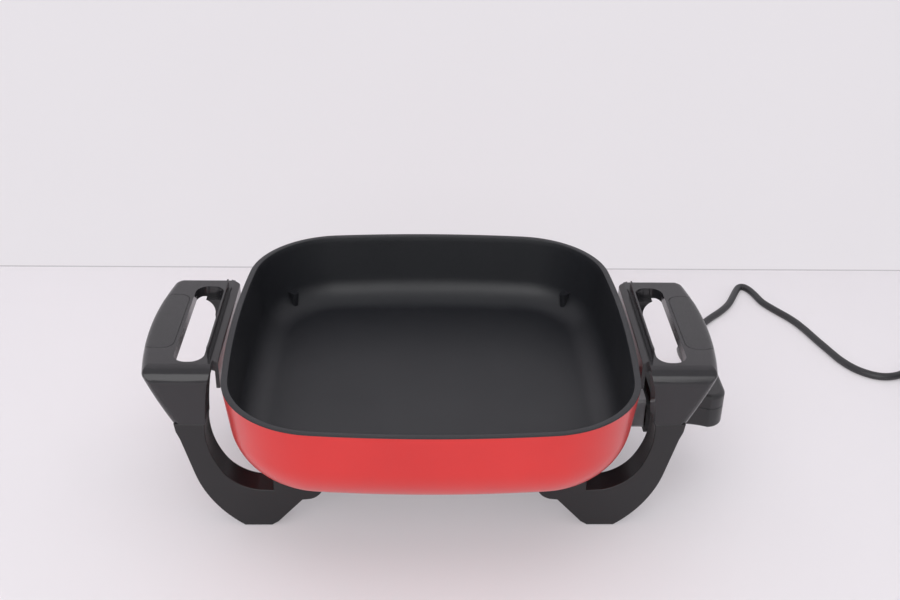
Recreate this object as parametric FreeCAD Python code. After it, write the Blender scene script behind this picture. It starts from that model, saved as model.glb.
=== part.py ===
"""Electric skillet: a square cast pan on two handle-and-leg stands, with a plug-in heat control.

Millimetres, +Z up, table at z = 0. The origin is the middle of the appliance's footprint, cord
not counted. The pan opens upwards and the heat control plugs in at +X. Every shape is drawn
about the pan's centre line and moved by PAN_X when it is saved.
"""
import FreeCAD, Part
import math
import os

V = FreeCAD.Vector
UP = V(0, 0, 1)

# Pan
RIM_HALF = 150.0          # middle of the pan to the rim's outer edge
RIM_CORNER_R = 73.0
SIDE_BOW_R = 890.0        # the four sides bulge slightly
RIM_Z = 140.0             # rim above the table
RIM_WIDTH = 4.6
RIM_EDGE = 0.6
PAN_DEPTH = 58.0
FLOOR_THICK = 5.5
BASE_Z = 68.5             # ring that the legs seat against
BASE_RING_W = 8.0
OUTER_DRAFT = 6.8         # degrees
INNER_DRAFT = 5.7
OUTER_EDGE_R = 44.0
INNER_EDGE_R = 22.0
LUG_W = 6.0               # rack lugs in the inside corners
LUG_REACH = 8.5
LUG_TOP_DROP = 40.0
LUG_H = 17.0
RING_INSET = 62.0         # where the wall's sections end and the flat slab inside begins

# Heating element and its terminals
LOOP_INSET = 74.0         # rim's outer edge to the loop
LOOP_HALF = RIM_HALF - LOOP_INSET
LOOP_CORNER_R = 30.0
ELEMENT_R = 3.25
ELEMENT_GAP = 0.05
ELEMENT_Z = 72.0
RIB_SIDE = 3.0
RIB_Z = 70.0
PIN_PITCH = 26.0
PIN_R = 2.5
BOSS_CLEAR = 6.0
BOSS_INSET = 16.0
BOSS_X0 = LOOP_HALF + BOSS_CLEAR
BOSS_X1 = RIM_HALF - BOSS_INSET
BOSS_W = 42.0
BOSS_Z = 63.0
PROBE_R = 3.0
PROBE_GAP = 0.3
PROBE_REACH = 46.0        # how far the probe goes into the boss
BEAD_R = 4.4
BEAD_L = 8.0

# Terminal guard around the pins
GUARD_L = 31.0
GUARD_X1 = BOSS_X1 + GUARD_L
GUARD_W = 50.0
GUARD_Z0 = 59.0
GUARD_Z1 = 85.0
GUARD_WALL = 2.0
GUARD_BACK = 2.5
GUARD_CHAMFER = 7.0
GUARD_SCREW_Y = 6.5
GUARD_SCREW_Z = 66.0
GUARD_SCREW_R = 1.3

# Handle
HANDLE_TOP = 138.5
HANDLE_GAP = 6.5          # rim to the grip's side nearest the pan
HANDLE_IN_X = RIM_HALF + HANDLE_GAP
GRIP_SPAN = 57.0          # from there to the middle of the grip's outer edge
HANDLE_REACH = HANDLE_IN_X + GRIP_SPAN
HANDLE_HALF_L = 70.0
GRIP_BOW = 7.5
GRIP_DROP = 18.0
PLATE_THICK = 8.0
SEAM_Z = 94.0             # where the handle seats on the leg
APRON_DEPTH = 20.0        # front to back, each apron and each leg
APRON_DRAFT_OUT = 19.5    # how far the outer contour comes in at the seam
APRON_DRAFT_IN = 6.0
EDGE_R = 8.0
SLOT_EDGE = 6.5
SLOT_X0 = HANDLE_IN_X + SLOT_EDGE
SLOT_X1 = HANDLE_IN_X + GRIP_SPAN / 2
SLOT_HALF = 56.0
SLOT_R = (SLOT_X1 - SLOT_X0) / 2.2
REAR_TOP_X = SLOT_X1 - 3.0        # the apron away from the viewer is narrow and flares into the plate
REAR_MID = (18.2, 127.0)          # x from HANDLE_IN_X, z
REAR_NECK = (15.5, 116.0)
REAR_SEAM_W = 14.5
REAR_SEAM_X = HANDLE_IN_X + REAR_SEAM_W
REAR_SCREW_IN = 10.3
REAR_SCREW_X = HANDLE_IN_X + REAR_SCREW_IN
SKIRT_DROP = 25.0
SKIRT_THICK = 2.8
SKIRT_X = HANDLE_IN_X - 3.7       # its face nearest the pan
SKIRT_SLOPE_H = 8.5
INLAY_X0 = SLOT_X1 + 2.4
INLAY_EDGE = 2.6          # in from the grip's outer edge
INLAY_Y = 2.5             # its middle
INLAY_HALF = 40.0
INLAY_R = 8.5
INLAY_THICK = 1.8
INLAY_PROUD = 0.15
INLAY_GAP = 0.25
BLADE_X = HANDLE_IN_X + 3.5
BLADE_THICK = 1.2
BLADE_HALF = 50.0
BLADE_PROUD = 8.0
BLADE_SINK = 4.0
GROOVE_X = HANDLE_IN_X + 1.4
GROOVE_W = 0.9
GROOVE_DEEP = 1.5
ENDS = (-1, 1)            # towards the viewer, and away

# Legs
FOOT_INSET = 30.3
FOOT_W = 20.5
FOOT_X0 = RIM_HALF - FOOT_INSET
FOOT_X1 = FOOT_X0 + FOOT_W
LEG_FOOT_RISE = 3.2
ARM_INSET = 68.0
ARM_X0 = RIM_HALF - ARM_INSET
BEAM_IN = 4.0
BEAM_W = 27.0
BEAM_X0 = ARM_X0 + BEAM_IN
BEAM_X1 = BEAM_X0 + BEAM_W
BEAM_Z0 = 29.0
BEAM_Z1 = 46.0
BEAM_WALL = 3.0
POST_W = 35.0
POST_X1 = ARM_X0 + POST_W
LEG_KNEE = (17.0, 47.5)   # x from HANDLE_IN_X, z
LEG_SHIN = (5.5, 23.0)
ARCH_LOW = (-13.5, 40.8)
ARCH_BEND = (-4.0, 50.0)
ARCH_HIGH = (4.3, 68.0)
ARM_TOE = (13.8, 24.8)    # x from ARM_X0, z
ARM_FLAT = (8.0, 25.5)
ARM_ROUND = (2.5, 28.2)
ARM_BACK = (-1.5, 34.0)
ARM_HEEL_Z = 42.0
ARCH_FOOT = (35.0, 34.3)
ARCH_START = (45.6, 34.8)
TONGUE_IN = 10.5
TONGUE_W = 11.0
TONGUE_X0 = HANDLE_IN_X + TONGUE_IN
TONGUE_X1 = TONGUE_X0 + TONGUE_W
TONGUE_H = 11.0
TONGUE_DEPTH = 12.0
TONGUE_GAP = 0.2
PAD_THICK = 1.6
PAD_PROUD = 0.8
PAD_MARGIN = 3.0
PAD_GAP = 0.1

# Screws
LEG_SCREW_IN = 10.0
LEG_SCREW_X = ARM_X0 + LEG_SCREW_IN
LEG_SCREW_R = 2.0
LEG_SCREW_HEAD_R = 4.0
LEG_SCREW_HEAD_H = 2.6
LEG_SCREW_L = 18.0
SCREW_PAD_R = 7.0
SCREW_PLAY = 0.25
HANDLE_SCREW_R = 1.6
HANDLE_SCREW_HEAD_R = 3.2
HANDLE_SCREW_HEAD_H = 2.0
HANDLE_SCREW_L = 14.0

# Heat control
CONTROL_X0 = GUARD_X1 + 4.0
CONTROL_L = 59.0
CONTROL_REACH = CONTROL_X0 + CONTROL_L
CONTROL_HALF_W = 25.0
CONTROL_Z0 = 59.0
CONTROL_SEAM_Z = 77.0
CONTROL_TOP = 88.5
CONTROL_WAIST_IN = 24.0
CONTROL_WAIST_X = CONTROL_REACH - CONTROL_WAIST_IN
CONTROL_WAIST_HALF = 21.5
CONTROL_CORNER_R = 13.0
CONTROL_WALL = 2.5
CONTROL_SEAM_GAP = 0.8
FINGER_NOTCH_X = CONTROL_REACH - 18.0
FINGER_NOTCH_HALF = 3.5
CAVITY = (CONTROL_X0 + 3.0, CONTROL_REACH - 9.0, 18.0)
CAVITY_TOP = 82.5
SCREW_POSTS = ((CONTROL_X0 + 18.0, -15.2), (CONTROL_X0 + 18.0, 15.2), (CONTROL_REACH - 15.0, -12.0))
POST_R = 3.0
CASE_SCREW_R = 1.3
LAMP_X = CONTROL_X0 + 7.5
LAMP_R = 2.6
FLANGE_X0 = GUARD_X1 + 0.6
FLANGE_HALF_W = 27.0
NOSE_X0 = BOSS_X1 + 5.0
NOSE_GAP = 0.6
SOCKET_R = 3.9
SOCKET_BORE_GAP = 0.3
SOCKET_X0 = NOSE_X0 + 2.0
SOCKET_X1 = CONTROL_X0 + 9.0

# Dial
DIAL_IN = 29.0
DIAL_X = CONTROL_X0 + DIAL_IN
DIAL_R = 16.5
DIAL_H = 5.0
DIAL_TOP = 90.0
DIAL_FLUTES = 24
DIAL_WELL_GAP = 0.5
SHAFT_R = 3.0
SHAFT_GAP = 0.06
CAM_R = 7.0
CAM_OFFSET = 1.2
CAM_T = 2.5

# Cord
CORD_D = 7.0
CORD_IN = 14.0
CORD_X = CONTROL_REACH - CORD_IN  # where it leaves the control, towards +Y
CORD_Z = 68.0
RELIEF_L = 30.0
RELIEF_R0 = 6.4
RELIEF_R1 = 4.6
COIL_AT = (487.0, 109.0)  # just past where the camera's view ends
COIL_R = 42.0             # middle of its turns
COIL_STEP = 8.0           # inwards per turn
COIL_LIFT = 0.8           # the tie is under it
COIL_CLIMB = 7.5
COIL_END = 860.0          # degrees wound
COIL_TAIL = 22.0          # straight, so that the plug lies clear of the turns
TIE_W = 9.0
TIE_T = 0.7
PLUG_L = 36.0
PLUG_W = 26.0
PLUG_RELIEF_L = 16.0
BLADE_L = 16.0
BLADE_W = 6.3
BLADE_T = 1.5
BLADE_PITCH = 12.7
EARTH_L = 19.0
EARTH_R = 2.4
EARTH_OFFSET = 11.9

PAN_X = (HANDLE_REACH - CONTROL_REACH) / 2

parts = {}


def save(name, shape):
    """Keep a finished shape in the appliance's own frame under its node name."""
    shape = shape.copy()
    shape.translate(V(PAN_X, 0, 0))
    parts[name] = shape


def edge(a, b):
    return Part.makeLine(V(*a), V(*b))


def arc(a, b, c):
    return Part.Arc(V(*a), V(*b), V(*c)).toShape()


def face(edges):
    return Part.Face(Part.Wire(Part.__sortEdges__(edges)))


def box(x0, x1, y0, y1, z0, z1):
    return Part.makeBox(x1 - x0, y1 - y0, z1 - z0, V(x0, y0, z0))


def rod(r, start, end):
    axis = V(*end) - V(*start)
    return Part.makeCylinder(r, axis.Length, V(*start), axis)


def xz_prism(points, y0, y1):
    """Closed outline of (x, z) points, extruded from y0 to y1."""
    wire = Part.makePolygon([V(x, y0, z) for x, z in points + points[:1]])
    return Part.Face(wire).extrude(V(0, y1 - y0, 0))


def mirror_x(shape):
    return shape.mirror(V(0, 0, 0), V(1, 0, 0))


def mirror_y(shape):
    return shape.mirror(V(0, 0, 0), V(0, 1, 0))


def both_ends(shape):
    """The shape and its mirror image across y = 0."""
    return [shape, mirror_y(shape)]


def corner_centre():
    """Distance from each axis of the centre of the plan's corner arcs."""
    b = RIM_HALF - SIDE_BOW_R
    reach = SIDE_BOW_R - RIM_CORNER_R
    return (b + math.sqrt(2 * reach * reach - b * b)) / 2


def bowed_square(inset, z):
    """Plan of the pan, inset from the rim: four bowed sides and four corner arcs."""
    a = corner_centre()
    b = RIM_HALF - SIDE_BOW_R
    side_r = SIDE_BOW_R - inset
    corner_r = RIM_CORNER_R - inset
    away = V(a, a - b, 0).normalize()
    t = V(0, b, 0) + away * side_r
    half = RIM_HALF - inset
    knee = a + corner_r / math.sqrt(2)
    edges = []
    for quarter in range(4):
        turn = FreeCAD.Rotation(UP, 90 * quarter)
        side = [turn.multVec(V(*p)) for p in ((-t.x, t.y, z), (0, half, z), (t.x, t.y, z))]
        bend = [turn.multVec(V(*p)) for p in ((t.x, t.y, z), (knee, knee, z), (t.y, t.x, z))]
        edges.append(Part.Arc(*side).toShape())
        edges.append(Part.Arc(*bend).toShape())
    return Part.Face(Part.Wire(Part.__sortEdges__(edges)))


def wall_line(inset, draft, edge_r, low):
    """Where a drafted wall meets the arc at its foot: wall end, arc middle, arc end, as (inset, z)."""
    lean = math.radians(draft)
    centre_z = low + edge_r
    wall_z = centre_z - edge_r * math.sin(lean)
    wall_o = inset + (RIM_Z - wall_z) * math.tan(lean)
    centre_o = wall_o + edge_r * math.cos(lean)
    middle = (math.pi / 2 + lean) / 2 + math.pi / 2 - lean
    mid = (centre_o - edge_r * math.sin(middle), centre_z + edge_r * math.cos(middle))
    return (wall_o, wall_z), mid, (centre_o, low)


def pan_section(reach):
    """Half section of the pan's wall in the XZ plane, its rim's outer edge at x = reach."""
    floor_z = RIM_Z - PAN_DEPTH
    under_z = floor_z - FLOOR_THICK
    out0, out1, out2 = wall_line(0, OUTER_DRAFT, OUTER_EDGE_R, BASE_Z)
    in0, in1, in2 = wall_line(RIM_WIDTH, INNER_DRAFT, INNER_EDGE_R, floor_z)

    def at(point):
        return (reach - point[0], 0, point[1])

    ring = out2[0] + BASE_RING_W
    inner_lip = RIM_EDGE * math.tan(math.radians(INNER_DRAFT))
    outer_lip = RIM_EDGE * math.tan(math.radians(OUTER_DRAFT))
    lip_in = (RIM_WIDTH + inner_lip, RIM_Z - RIM_EDGE)
    lip_out = (outer_lip, RIM_Z - RIM_EDGE)
    top_in = (RIM_WIDTH - RIM_EDGE, RIM_Z)
    top_out = (RIM_EDGE, RIM_Z)
    return face([
        edge(at(top_out), at(lip_out)),
        edge(at(lip_out), at(out0)),
        arc(at(out0), at(out1), at(out2)),
        edge(at(out2), at((ring, BASE_Z))),
        edge(at((ring, BASE_Z)), at((ring, under_z))),
        edge(at((ring, under_z)), at((RING_INSET, under_z))),
        edge(at((RING_INSET, under_z)), at((RING_INSET, floor_z))),
        edge(at((RING_INSET, floor_z)), at(in2)),
        arc(at(in2), at(in1), at(in0)),
        edge(at(in0), at(lip_in)),
        edge(at(lip_in), at(top_in)),
        edge(at(top_in), at(top_out)),
    ])


def pan_shell():
    """Wall and floor: the section revolved about each plan arc's own centre, and a slab inside."""
    a = corner_centre()
    b = RIM_HALF - SIDE_BOW_R
    swing = math.degrees(math.atan2(a, a - b))
    side = pan_section(SIDE_BOW_R)
    side.rotate(V(0, 0, 0), UP, -swing)
    side = side.revolve(V(0, 0, 0), UP, 2 * swing)
    side.translate(V(b, 0, 0))
    corner = pan_section(RIM_CORNER_R)
    corner.rotate(V(0, 0, 0), UP, swing)
    corner = corner.revolve(V(0, 0, 0), UP, 90 - 2 * swing)
    corner.translate(V(a, a, 0))
    pieces = []
    for quarter in range(4):
        for piece in (side, corner):
            turned = piece.copy()
            turned.rotate(V(0, 0, 0), UP, 90 * quarter)
            pieces.append(turned)
    floor_z = RIM_Z - PAN_DEPTH
    slab = bowed_square(RING_INSET, floor_z - FLOOR_THICK).extrude(V(0, 0, FLOOR_THICK))
    return slab.fuse(pieces).removeSplitter()


def rack_lug():
    """Wedge on an inside corner: flat on top, tapering down the wall, on the +X+Y diagonal."""
    top_z = RIM_Z - LUG_TOP_DROP
    wall = corner_centre() * math.sqrt(2) + RIM_CORNER_R - RIM_WIDTH
    wall -= LUG_TOP_DROP * math.tan(math.radians(INNER_DRAFT))
    buried = wall + RIM_WIDTH / 2
    tip_z = top_z - LUG_H
    wedge = xz_prism([(wall - LUG_REACH, top_z), (buried, top_z), (buried, tip_z + LUG_REACH),
                      (wall - LUG_REACH + 2.0, tip_z)], -LUG_W / 2, LUG_W / 2)
    side = [e for e in wedge.Edges if abs(e.BoundBox.XMin - e.BoundBox.XMax) < 3 and e.BoundBox.ZLength > 5
            and e.BoundBox.XMax < wall]
    wedge = wedge.makeFillet(LUG_W / 2 - 0.4, side)
    wedge.rotate(V(0, 0, 0), UP, 45)
    return wedge


def loop_path(half, corner_r, z):
    """Closed rounded square, as a face."""
    flat = half - corner_r
    knee = flat + corner_r / math.sqrt(2)
    edges = []
    for quarter in range(4):
        turn = FreeCAD.Rotation(UP, 90 * quarter)
        p = [turn.multVec(V(*q)) for q in ((half, -flat, z), (half, flat, z), (knee, knee, z), (flat, half, z))]
        edges.append(Part.makeLine(p[0], p[1]))
        edges.append(Part.Arc(p[1], p[2], p[3]).toShape())
    return Part.Face(Part.Wire(Part.__sortEdges__(edges)))


def element_path():
    """Open run of the tube: in along one terminal, round under the floor, out by the other."""
    half = LOOP_HALF
    flat = half - LOOP_CORNER_R
    lead_y = PIN_PITCH / 2
    turn_r = 10.0
    end_x = BOSS_X1 - BEAD_L
    z = ELEMENT_Z
    cut = math.sqrt(0.5)
    knee = flat + LOOP_CORNER_R * cut
    start = [
        Part.makeLine(V(end_x, lead_y, z), V(half + turn_r, lead_y, z)),
        Part.Arc(V(half + turn_r, lead_y, z), V(half + turn_r * (1 - cut), lead_y + turn_r * (1 - cut), z),
                 V(half, lead_y + turn_r, z)).toShape(),
        Part.makeLine(V(half, lead_y + turn_r, z), V(half, flat, z)),
        Part.Arc(V(half, flat, z), V(knee, knee, z), V(flat, half, z)).toShape(),
        Part.makeLine(V(flat, half, z), V(-flat, half, z)),
        Part.Arc(V(-flat, half, z), V(-knee, knee, z), V(-half, flat, z)).toShape(),
        Part.makeLine(V(-half, flat, z), V(-half, 0, z)),
    ]
    rest = [mirror_y(e) for e in start]
    return Part.Wire(Part.__sortEdges__(start + rest))


def element_tube(radius):
    path = element_path()
    ends = [v.Point for v in path.OrderedVertexes]
    start = ends[0]
    ring = Part.Wire(Part.makeCircle(radius, start, V(1, 0, 0)))
    return path.makePipeShell([ring], True, False)


def pan_body():
    floor_z = RIM_Z - PAN_DEPTH
    under_z = floor_z - FLOOR_THICK
    bite = 1.0
    shell = pan_shell()
    half_rib = ELEMENT_R + RIB_SIDE
    rib = loop_path(LOOP_HALF + half_rib, LOOP_CORNER_R + half_rib, RIB_Z)
    rib = rib.cut(loop_path(LOOP_HALF - half_rib, LOOP_CORNER_R - half_rib, RIB_Z))
    rib = rib.extrude(V(0, 0, under_z + bite - RIB_Z))
    boss = box(BOSS_X0, BOSS_X1, -BOSS_W / 2, BOSS_W / 2, BOSS_Z, under_z + bite)
    boss = boss.makeFillet(3.0, [e for e in boss.Edges if e.BoundBox.ZLength > 5])
    pads = []
    for x in (-LEG_SCREW_X, LEG_SCREW_X):
        for y in (-1, 1):
            pads.append(Part.makeCylinder(SCREW_PAD_R, under_z + bite - BASE_Z,
                                          V(x, y * leg_screw_y(), BASE_Z)))
    lugs = []
    for quarter in range(4):
        lug = rack_lug()
        lug.rotate(V(0, 0, 0), UP, 90 * quarter)
        lugs.append(lug)
    solid = shell.fuse([rib, boss] + pads + lugs)
    probe_end = BOSS_X1 - PROBE_REACH
    holes = [element_tube(ELEMENT_R + ELEMENT_GAP),
             rod(PROBE_R + PROBE_GAP, (probe_end - 1, 0, ELEMENT_Z), (BOSS_X1 + 1, 0, ELEMENT_Z))]
    for side in (-1, 1):
        y = side * PIN_PITCH / 2
        holes.append(rod(BEAD_R + ELEMENT_GAP, (BOSS_X1 - BEAD_L, y, ELEMENT_Z), (BOSS_X1 + 1, y, ELEMENT_Z)))
    for x in (-LEG_SCREW_X, LEG_SCREW_X):
        for y in (-1, 1):
            at = V(x, y * leg_screw_y(), BASE_Z - 1)
            holes.append(Part.makeCylinder(LEG_SCREW_R + 0.05, leg_screw_tip() + 1.5 - at.z, at))
    return solid.cut(holes).removeSplitter()


def leg_screw_y():
    return HANDLE_HALF_L - APRON_DEPTH / 2


def leg_screw_tip():
    return BASE_Z + 6.0


def terminal_pins():
    """Cold ends of the element: plain pins that the control's sockets push onto."""
    tip = GUARD_X1 - 4.0
    pins = []
    for side in (-1, 1):
        y = side * PIN_PITCH / 2
        pin = rod(PIN_R, (BOSS_X1 - BEAD_L, y, ELEMENT_Z), (tip, y, ELEMENT_Z))
        nose = [e for e in pin.Edges if abs(e.BoundBox.XMin - tip) < 0.01 and e.BoundBox.XLength < 0.01]
        pins.append(pin.makeFillet(PIN_R * 0.6, nose))
    return Part.makeCompound(pins)


def terminal_beads():
    """Ceramic sleeves that hold the pins in the boss."""
    beads = []
    for side in (-1, 1):
        y = side * PIN_PITCH / 2
        bead = rod(BEAD_R, (BOSS_X1 - BEAD_L, y, ELEMENT_Z), (BOSS_X1 + GUARD_BACK + 1.0, y, ELEMENT_Z))
        bead = bead.cut(rod(PIN_R, (BOSS_X1 - BEAD_L - 1, y, ELEMENT_Z), (GUARD_X1, y, ELEMENT_Z)))
        beads.append(bead)
    return Part.makeCompound(beads)


def terminal_guard():
    """Open box around the pins, screwed to the boss, its top back edge cut clear of the pan."""
    half = GUARD_W / 2
    outer = box(BOSS_X1, GUARD_X1, -half, half, GUARD_Z0, GUARD_Z1)
    long_edges = [e for e in outer.Edges if e.BoundBox.XLength > 10]
    outer = outer.makeFillet(3.0, long_edges)
    inner = box(BOSS_X1 + GUARD_BACK, GUARD_X1 + 1, -half + GUARD_WALL, half - GUARD_WALL,
                GUARD_Z0 + GUARD_WALL, GUARD_Z1 - GUARD_WALL)
    inner = inner.makeFillet(1.5, [e for e in inner.Edges if e.BoundBox.XLength > 10])
    guard = outer.cut(inner)
    corner = xz_prism([(BOSS_X1 - 1, GUARD_Z1 - GUARD_CHAMFER), (BOSS_X1 - 1, GUARD_Z1 + 1),
                       (BOSS_X1 + GUARD_CHAMFER, GUARD_Z1 + 1)], -half - 1, half + 1)
    bores = [rod(PROBE_R + 1.0, (BOSS_X1 - 1, 0, ELEMENT_Z), (BOSS_X1 + 5, 0, ELEMENT_Z))]
    for side in (-1, 1):
        y = side * PIN_PITCH / 2
        bores.append(rod(BEAD_R, (BOSS_X1 - 1, y, ELEMENT_Z), (BOSS_X1 + 5, y, ELEMENT_Z)))
    for y in (-GUARD_SCREW_Y, GUARD_SCREW_Y):
        bores.append(rod(GUARD_SCREW_R, (BOSS_X1 - 1, y, GUARD_SCREW_Z), (BOSS_X1 + 5, y, GUARD_SCREW_Z)))
    return guard.cut([corner] + bores)


def by_grip(point, y):
    """A point of the grip's or a leg's outline, its x counted from the grip's inner side."""
    return (HANDLE_IN_X + point[0], y, point[1])


def by_arm(point, y):
    """A point of a leg's outline, its x counted from the arm's inner end."""
    return (ARM_X0 + point[0], y, point[1])


def handle_outline(drop):
    """Plan of the handle at a depth below its top: straight inside and ends, bowed outside."""
    share = drop / (HANDLE_TOP - SEAM_Z)
    z = HANDLE_TOP - drop
    inner = HANDLE_IN_X + APRON_DRAFT_IN * share ** 0.6
    corner = HANDLE_REACH - GRIP_BOW - APRON_DRAFT_OUT * share ** 1.15
    y = HANDLE_HALF_L
    return Part.Wire([
        edge((inner, -y, z), (corner, -y, z)),
        arc((corner, -y, z), (corner + GRIP_BOW, 0, z), (corner, y, z)),
        edge((corner, y, z), (inner, y, z)),
        edge((inner, y, z), (inner, -y, z)),
    ])


def slot_shape(x0, x1, half, corner_r, z0, z1):
    """Rounded rectangle in plan, upright."""
    block = box(x0, x1, -half, half, z0, z1)
    return block.makeFillet(corner_r, [e for e in block.Edges if e.BoundBox.ZLength > (z1 - z0) / 2])


def grip_arch():
    """Room under the handle between its aprons, leaving the skirt, the plate and the rounded grip."""
    low = SEAM_Z - 1
    plate_z = HANDLE_TOP - PLATE_THICK
    bar_x = SLOT_X1 + 1.5
    bar_z = HANDLE_TOP - GRIP_DROP
    skirt_x = HANDLE_IN_X + SKIRT_THICK
    skirt_z = HANDLE_TOP - SKIRT_DROP
    out_x = HANDLE_REACH + 20
    y = -HANDLE_HALF_L + APRON_DEPTH
    edges = [
        edge((HANDLE_IN_X - 9, y, low), (out_x, y, low)),
        edge((out_x, y, low), (out_x, y, bar_z + 4)),
        edge((out_x, y, bar_z + 4), (HANDLE_REACH - 5, y, bar_z + 4)),
        arc((HANDLE_REACH - 5, y, bar_z + 4), ((bar_x + HANDLE_REACH) / 2, y, bar_z), (bar_x, y, plate_z)),
        edge((bar_x, y, plate_z), (skirt_x, y, plate_z)),
        edge((skirt_x, y, plate_z), (skirt_x, y, skirt_z)),
        edge((skirt_x, y, skirt_z), (HANDLE_IN_X - 9, y, skirt_z)),
        edge((HANDLE_IN_X - 9, y, skirt_z), (HANDLE_IN_X - 9, y, low)),
    ]
    return face(edges).extrude(V(0, -2 * y, 0))


def handle():
    """Right-hand handle: one glossy moulding, grip and two aprons that seat on the legs."""
    deep = HANDLE_TOP - SEAM_Z
    body = Part.makeLoft([handle_outline(d) for d in (0, deep * 0.42, deep)], True, False)
    corners = [e for e in body.Edges if e.BoundBox.ZLength > deep / 2 and e.BoundBox.XMax > HANDLE_IN_X + 20]
    body = body.makeFillet(EDGE_R, corners)
    rim = [e for e in body.Edges if e.BoundBox.ZLength < 0.01 and e.BoundBox.ZMin > HANDLE_TOP - 0.1
           and e.BoundBox.XMax > HANDLE_IN_X + 1]
    body = body.makeFillet(EDGE_R - 2.5, rim)
    top = HANDLE_TOP
    cuts = [
        grip_arch(),
        slot_shape(SLOT_X0, SLOT_X1, SLOT_HALF, SLOT_R, top - PLATE_THICK - 1, top + 1),
        inlay_shape(0, top - INLAY_THICK + INLAY_PROUD, top + 1),
        rear_relief(),
        box(BLADE_X - BLADE_THICK / 2, BLADE_X + BLADE_THICK / 2, -BLADE_HALF, BLADE_HALF,
            top - BLADE_SINK, top + 1),
        box(GROOVE_X - GROOVE_W / 2, GROOVE_X + GROOVE_W / 2, -BLADE_HALF - 4, BLADE_HALF + 4,
            top - GROOVE_DEEP, top + 1),
    ]
    cuts += [tongue(end, TONGUE_GAP) for end in ENDS]
    cuts += [handle_screw_hole(end) for end in ENDS]
    return body.fuse(pan_side_skirt()).cut(cuts).removeSplitter()


def pan_side_skirt():
    """Lip along the plate's inner edge that slopes towards the pan and then hangs straight down."""
    top = HANDLE_TOP
    low = top - SKIRT_DROP
    inner = HANDLE_IN_X + 3.0
    bend = top - SKIRT_SLOPE_H
    outline = [(inner, top), (inner - 0.6, top), (SKIRT_X, bend), (SKIRT_X, low),
               (SKIRT_X + SKIRT_THICK, low), (SKIRT_X + SKIRT_THICK, bend - 2), (inner + 2.0, bend + 0.4)]
    half = HANDLE_HALF_L - 3.0
    lip = xz_prism(outline, -HANDLE_HALF_L + APRON_DEPTH - 2.0, half)
    ends = [e for e in lip.Edges if e.BoundBox.ZLength > 10 and e.BoundBox.XMax < SKIRT_X + 0.01
            and e.BoundBox.YMin > 0]
    return lip.makeFillet(SKIRT_THICK - 0.1, ends)


def rear_relief():
    """Room behind the grip: the apron on this side is only a narrow limb with a flared top."""
    low = SEAM_Z - 1
    plate_z = HANDLE_TOP - PLATE_THICK
    bar_x = SLOT_X1 + 1.5
    bar_z = HANDLE_TOP - GRIP_DROP
    out_x = HANDLE_REACH + 20
    y = HANDLE_HALF_L - APRON_DEPTH - 0.5
    edges = [
        edge((REAR_SEAM_X, y, low), by_grip(REAR_NECK, y)),
        arc(by_grip(REAR_NECK, y), by_grip(REAR_MID, y), (REAR_TOP_X, y, plate_z)),
        edge((REAR_TOP_X, y, plate_z), (bar_x, y, plate_z)),
        arc((bar_x, y, plate_z), ((bar_x + HANDLE_REACH) / 2, y, bar_z), (HANDLE_REACH - 5, y, bar_z + 4)),
        edge((HANDLE_REACH - 5, y, bar_z + 4), (out_x, y, bar_z + 4)),
        edge((out_x, y, bar_z + 4), (out_x, y, low)),
        edge((out_x, y, low), (REAR_SEAM_X, y, low)),
    ]
    return face(edges).extrude(V(0, APRON_DEPTH + 2, 0))


def tongue_span(end):
    """Where the leg's tongue starts and stops across, at this end."""
    if end < 0:
        return TONGUE_X0, TONGUE_X1
    return REAR_SCREW_X - 2.7, REAR_SCREW_X + 2.7


def tongue(end, gap):
    """Upright block on the leg that the apron slips over, or with a gap its pocket."""
    middle = end * (HANDLE_HALF_L - APRON_DEPTH / 2)
    half = TONGUE_DEPTH / 2 + gap
    x0, x1 = tongue_span(end)
    return box(x0 - gap, x1 + gap, middle - half, middle + half,
               SEAM_Z - (1 if gap else 4), SEAM_Z + TONGUE_H + gap)


def handle_screw_axis(end):
    return sum(tongue_span(end)) / 2, SEAM_Z + TONGUE_H / 2


def handle_screw_hole(end):
    x, z = handle_screw_axis(end)
    y = HANDLE_HALF_L - APRON_DEPTH
    return rod(HANDLE_SCREW_R + 0.05, (x, end * (y - 1), z), (x, end * (y + HANDLE_SCREW_L + 0.5), z))


def handle_screws():
    screws = []
    for end in ENDS:
        x, z = handle_screw_axis(end)
        y = HANDLE_HALF_L - APRON_DEPTH
        shank = rod(HANDLE_SCREW_R, (x, end * y, z), (x, end * (y + HANDLE_SCREW_L), z))
        head = rod(HANDLE_SCREW_HEAD_R, (x, end * (y - HANDLE_SCREW_HEAD_H), z), (x, end * y, z))
        screws.append(shank.fuse(head))
    return Part.makeCompound(screws)


def inlay_shape(gap, low, high):
    """Grip inlay's block: straight beside the slot, bowed like the grip outside."""
    x0 = INLAY_X0 + gap
    y0 = INLAY_Y - INLAY_HALF + gap
    y1 = INLAY_Y + INLAY_HALF - gap
    reach = HANDLE_REACH - INLAY_EDGE - gap
    sag = GRIP_BOW / HANDLE_HALF_L ** 2
    outline = face([
        edge((x0, y0, low), (reach - sag * y0 ** 2, y0, low)),
        arc((reach - sag * y0 ** 2, y0, low), (reach, 0, low), (reach - sag * y1 ** 2, y1, low)),
        edge((reach - sag * y1 ** 2, y1, low), (x0, y1, low)),
        edge((x0, y1, low), (x0, y0, low)),
    ])
    block = outline.extrude(V(0, 0, high - low))
    return block.makeFillet(INLAY_R, [e for e in block.Edges if e.BoundBox.ZLength > (high - low) / 2])


def grip_inlay():
    low = HANDLE_TOP - INLAY_THICK + INLAY_PROUD
    high = HANDLE_TOP + INLAY_PROUD
    plate = inlay_shape(INLAY_GAP, low, high)
    top = [e for e in plate.Edges if e.BoundBox.ZMin > high - 0.01]
    return plate.makeFillet(0.5, top)


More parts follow.
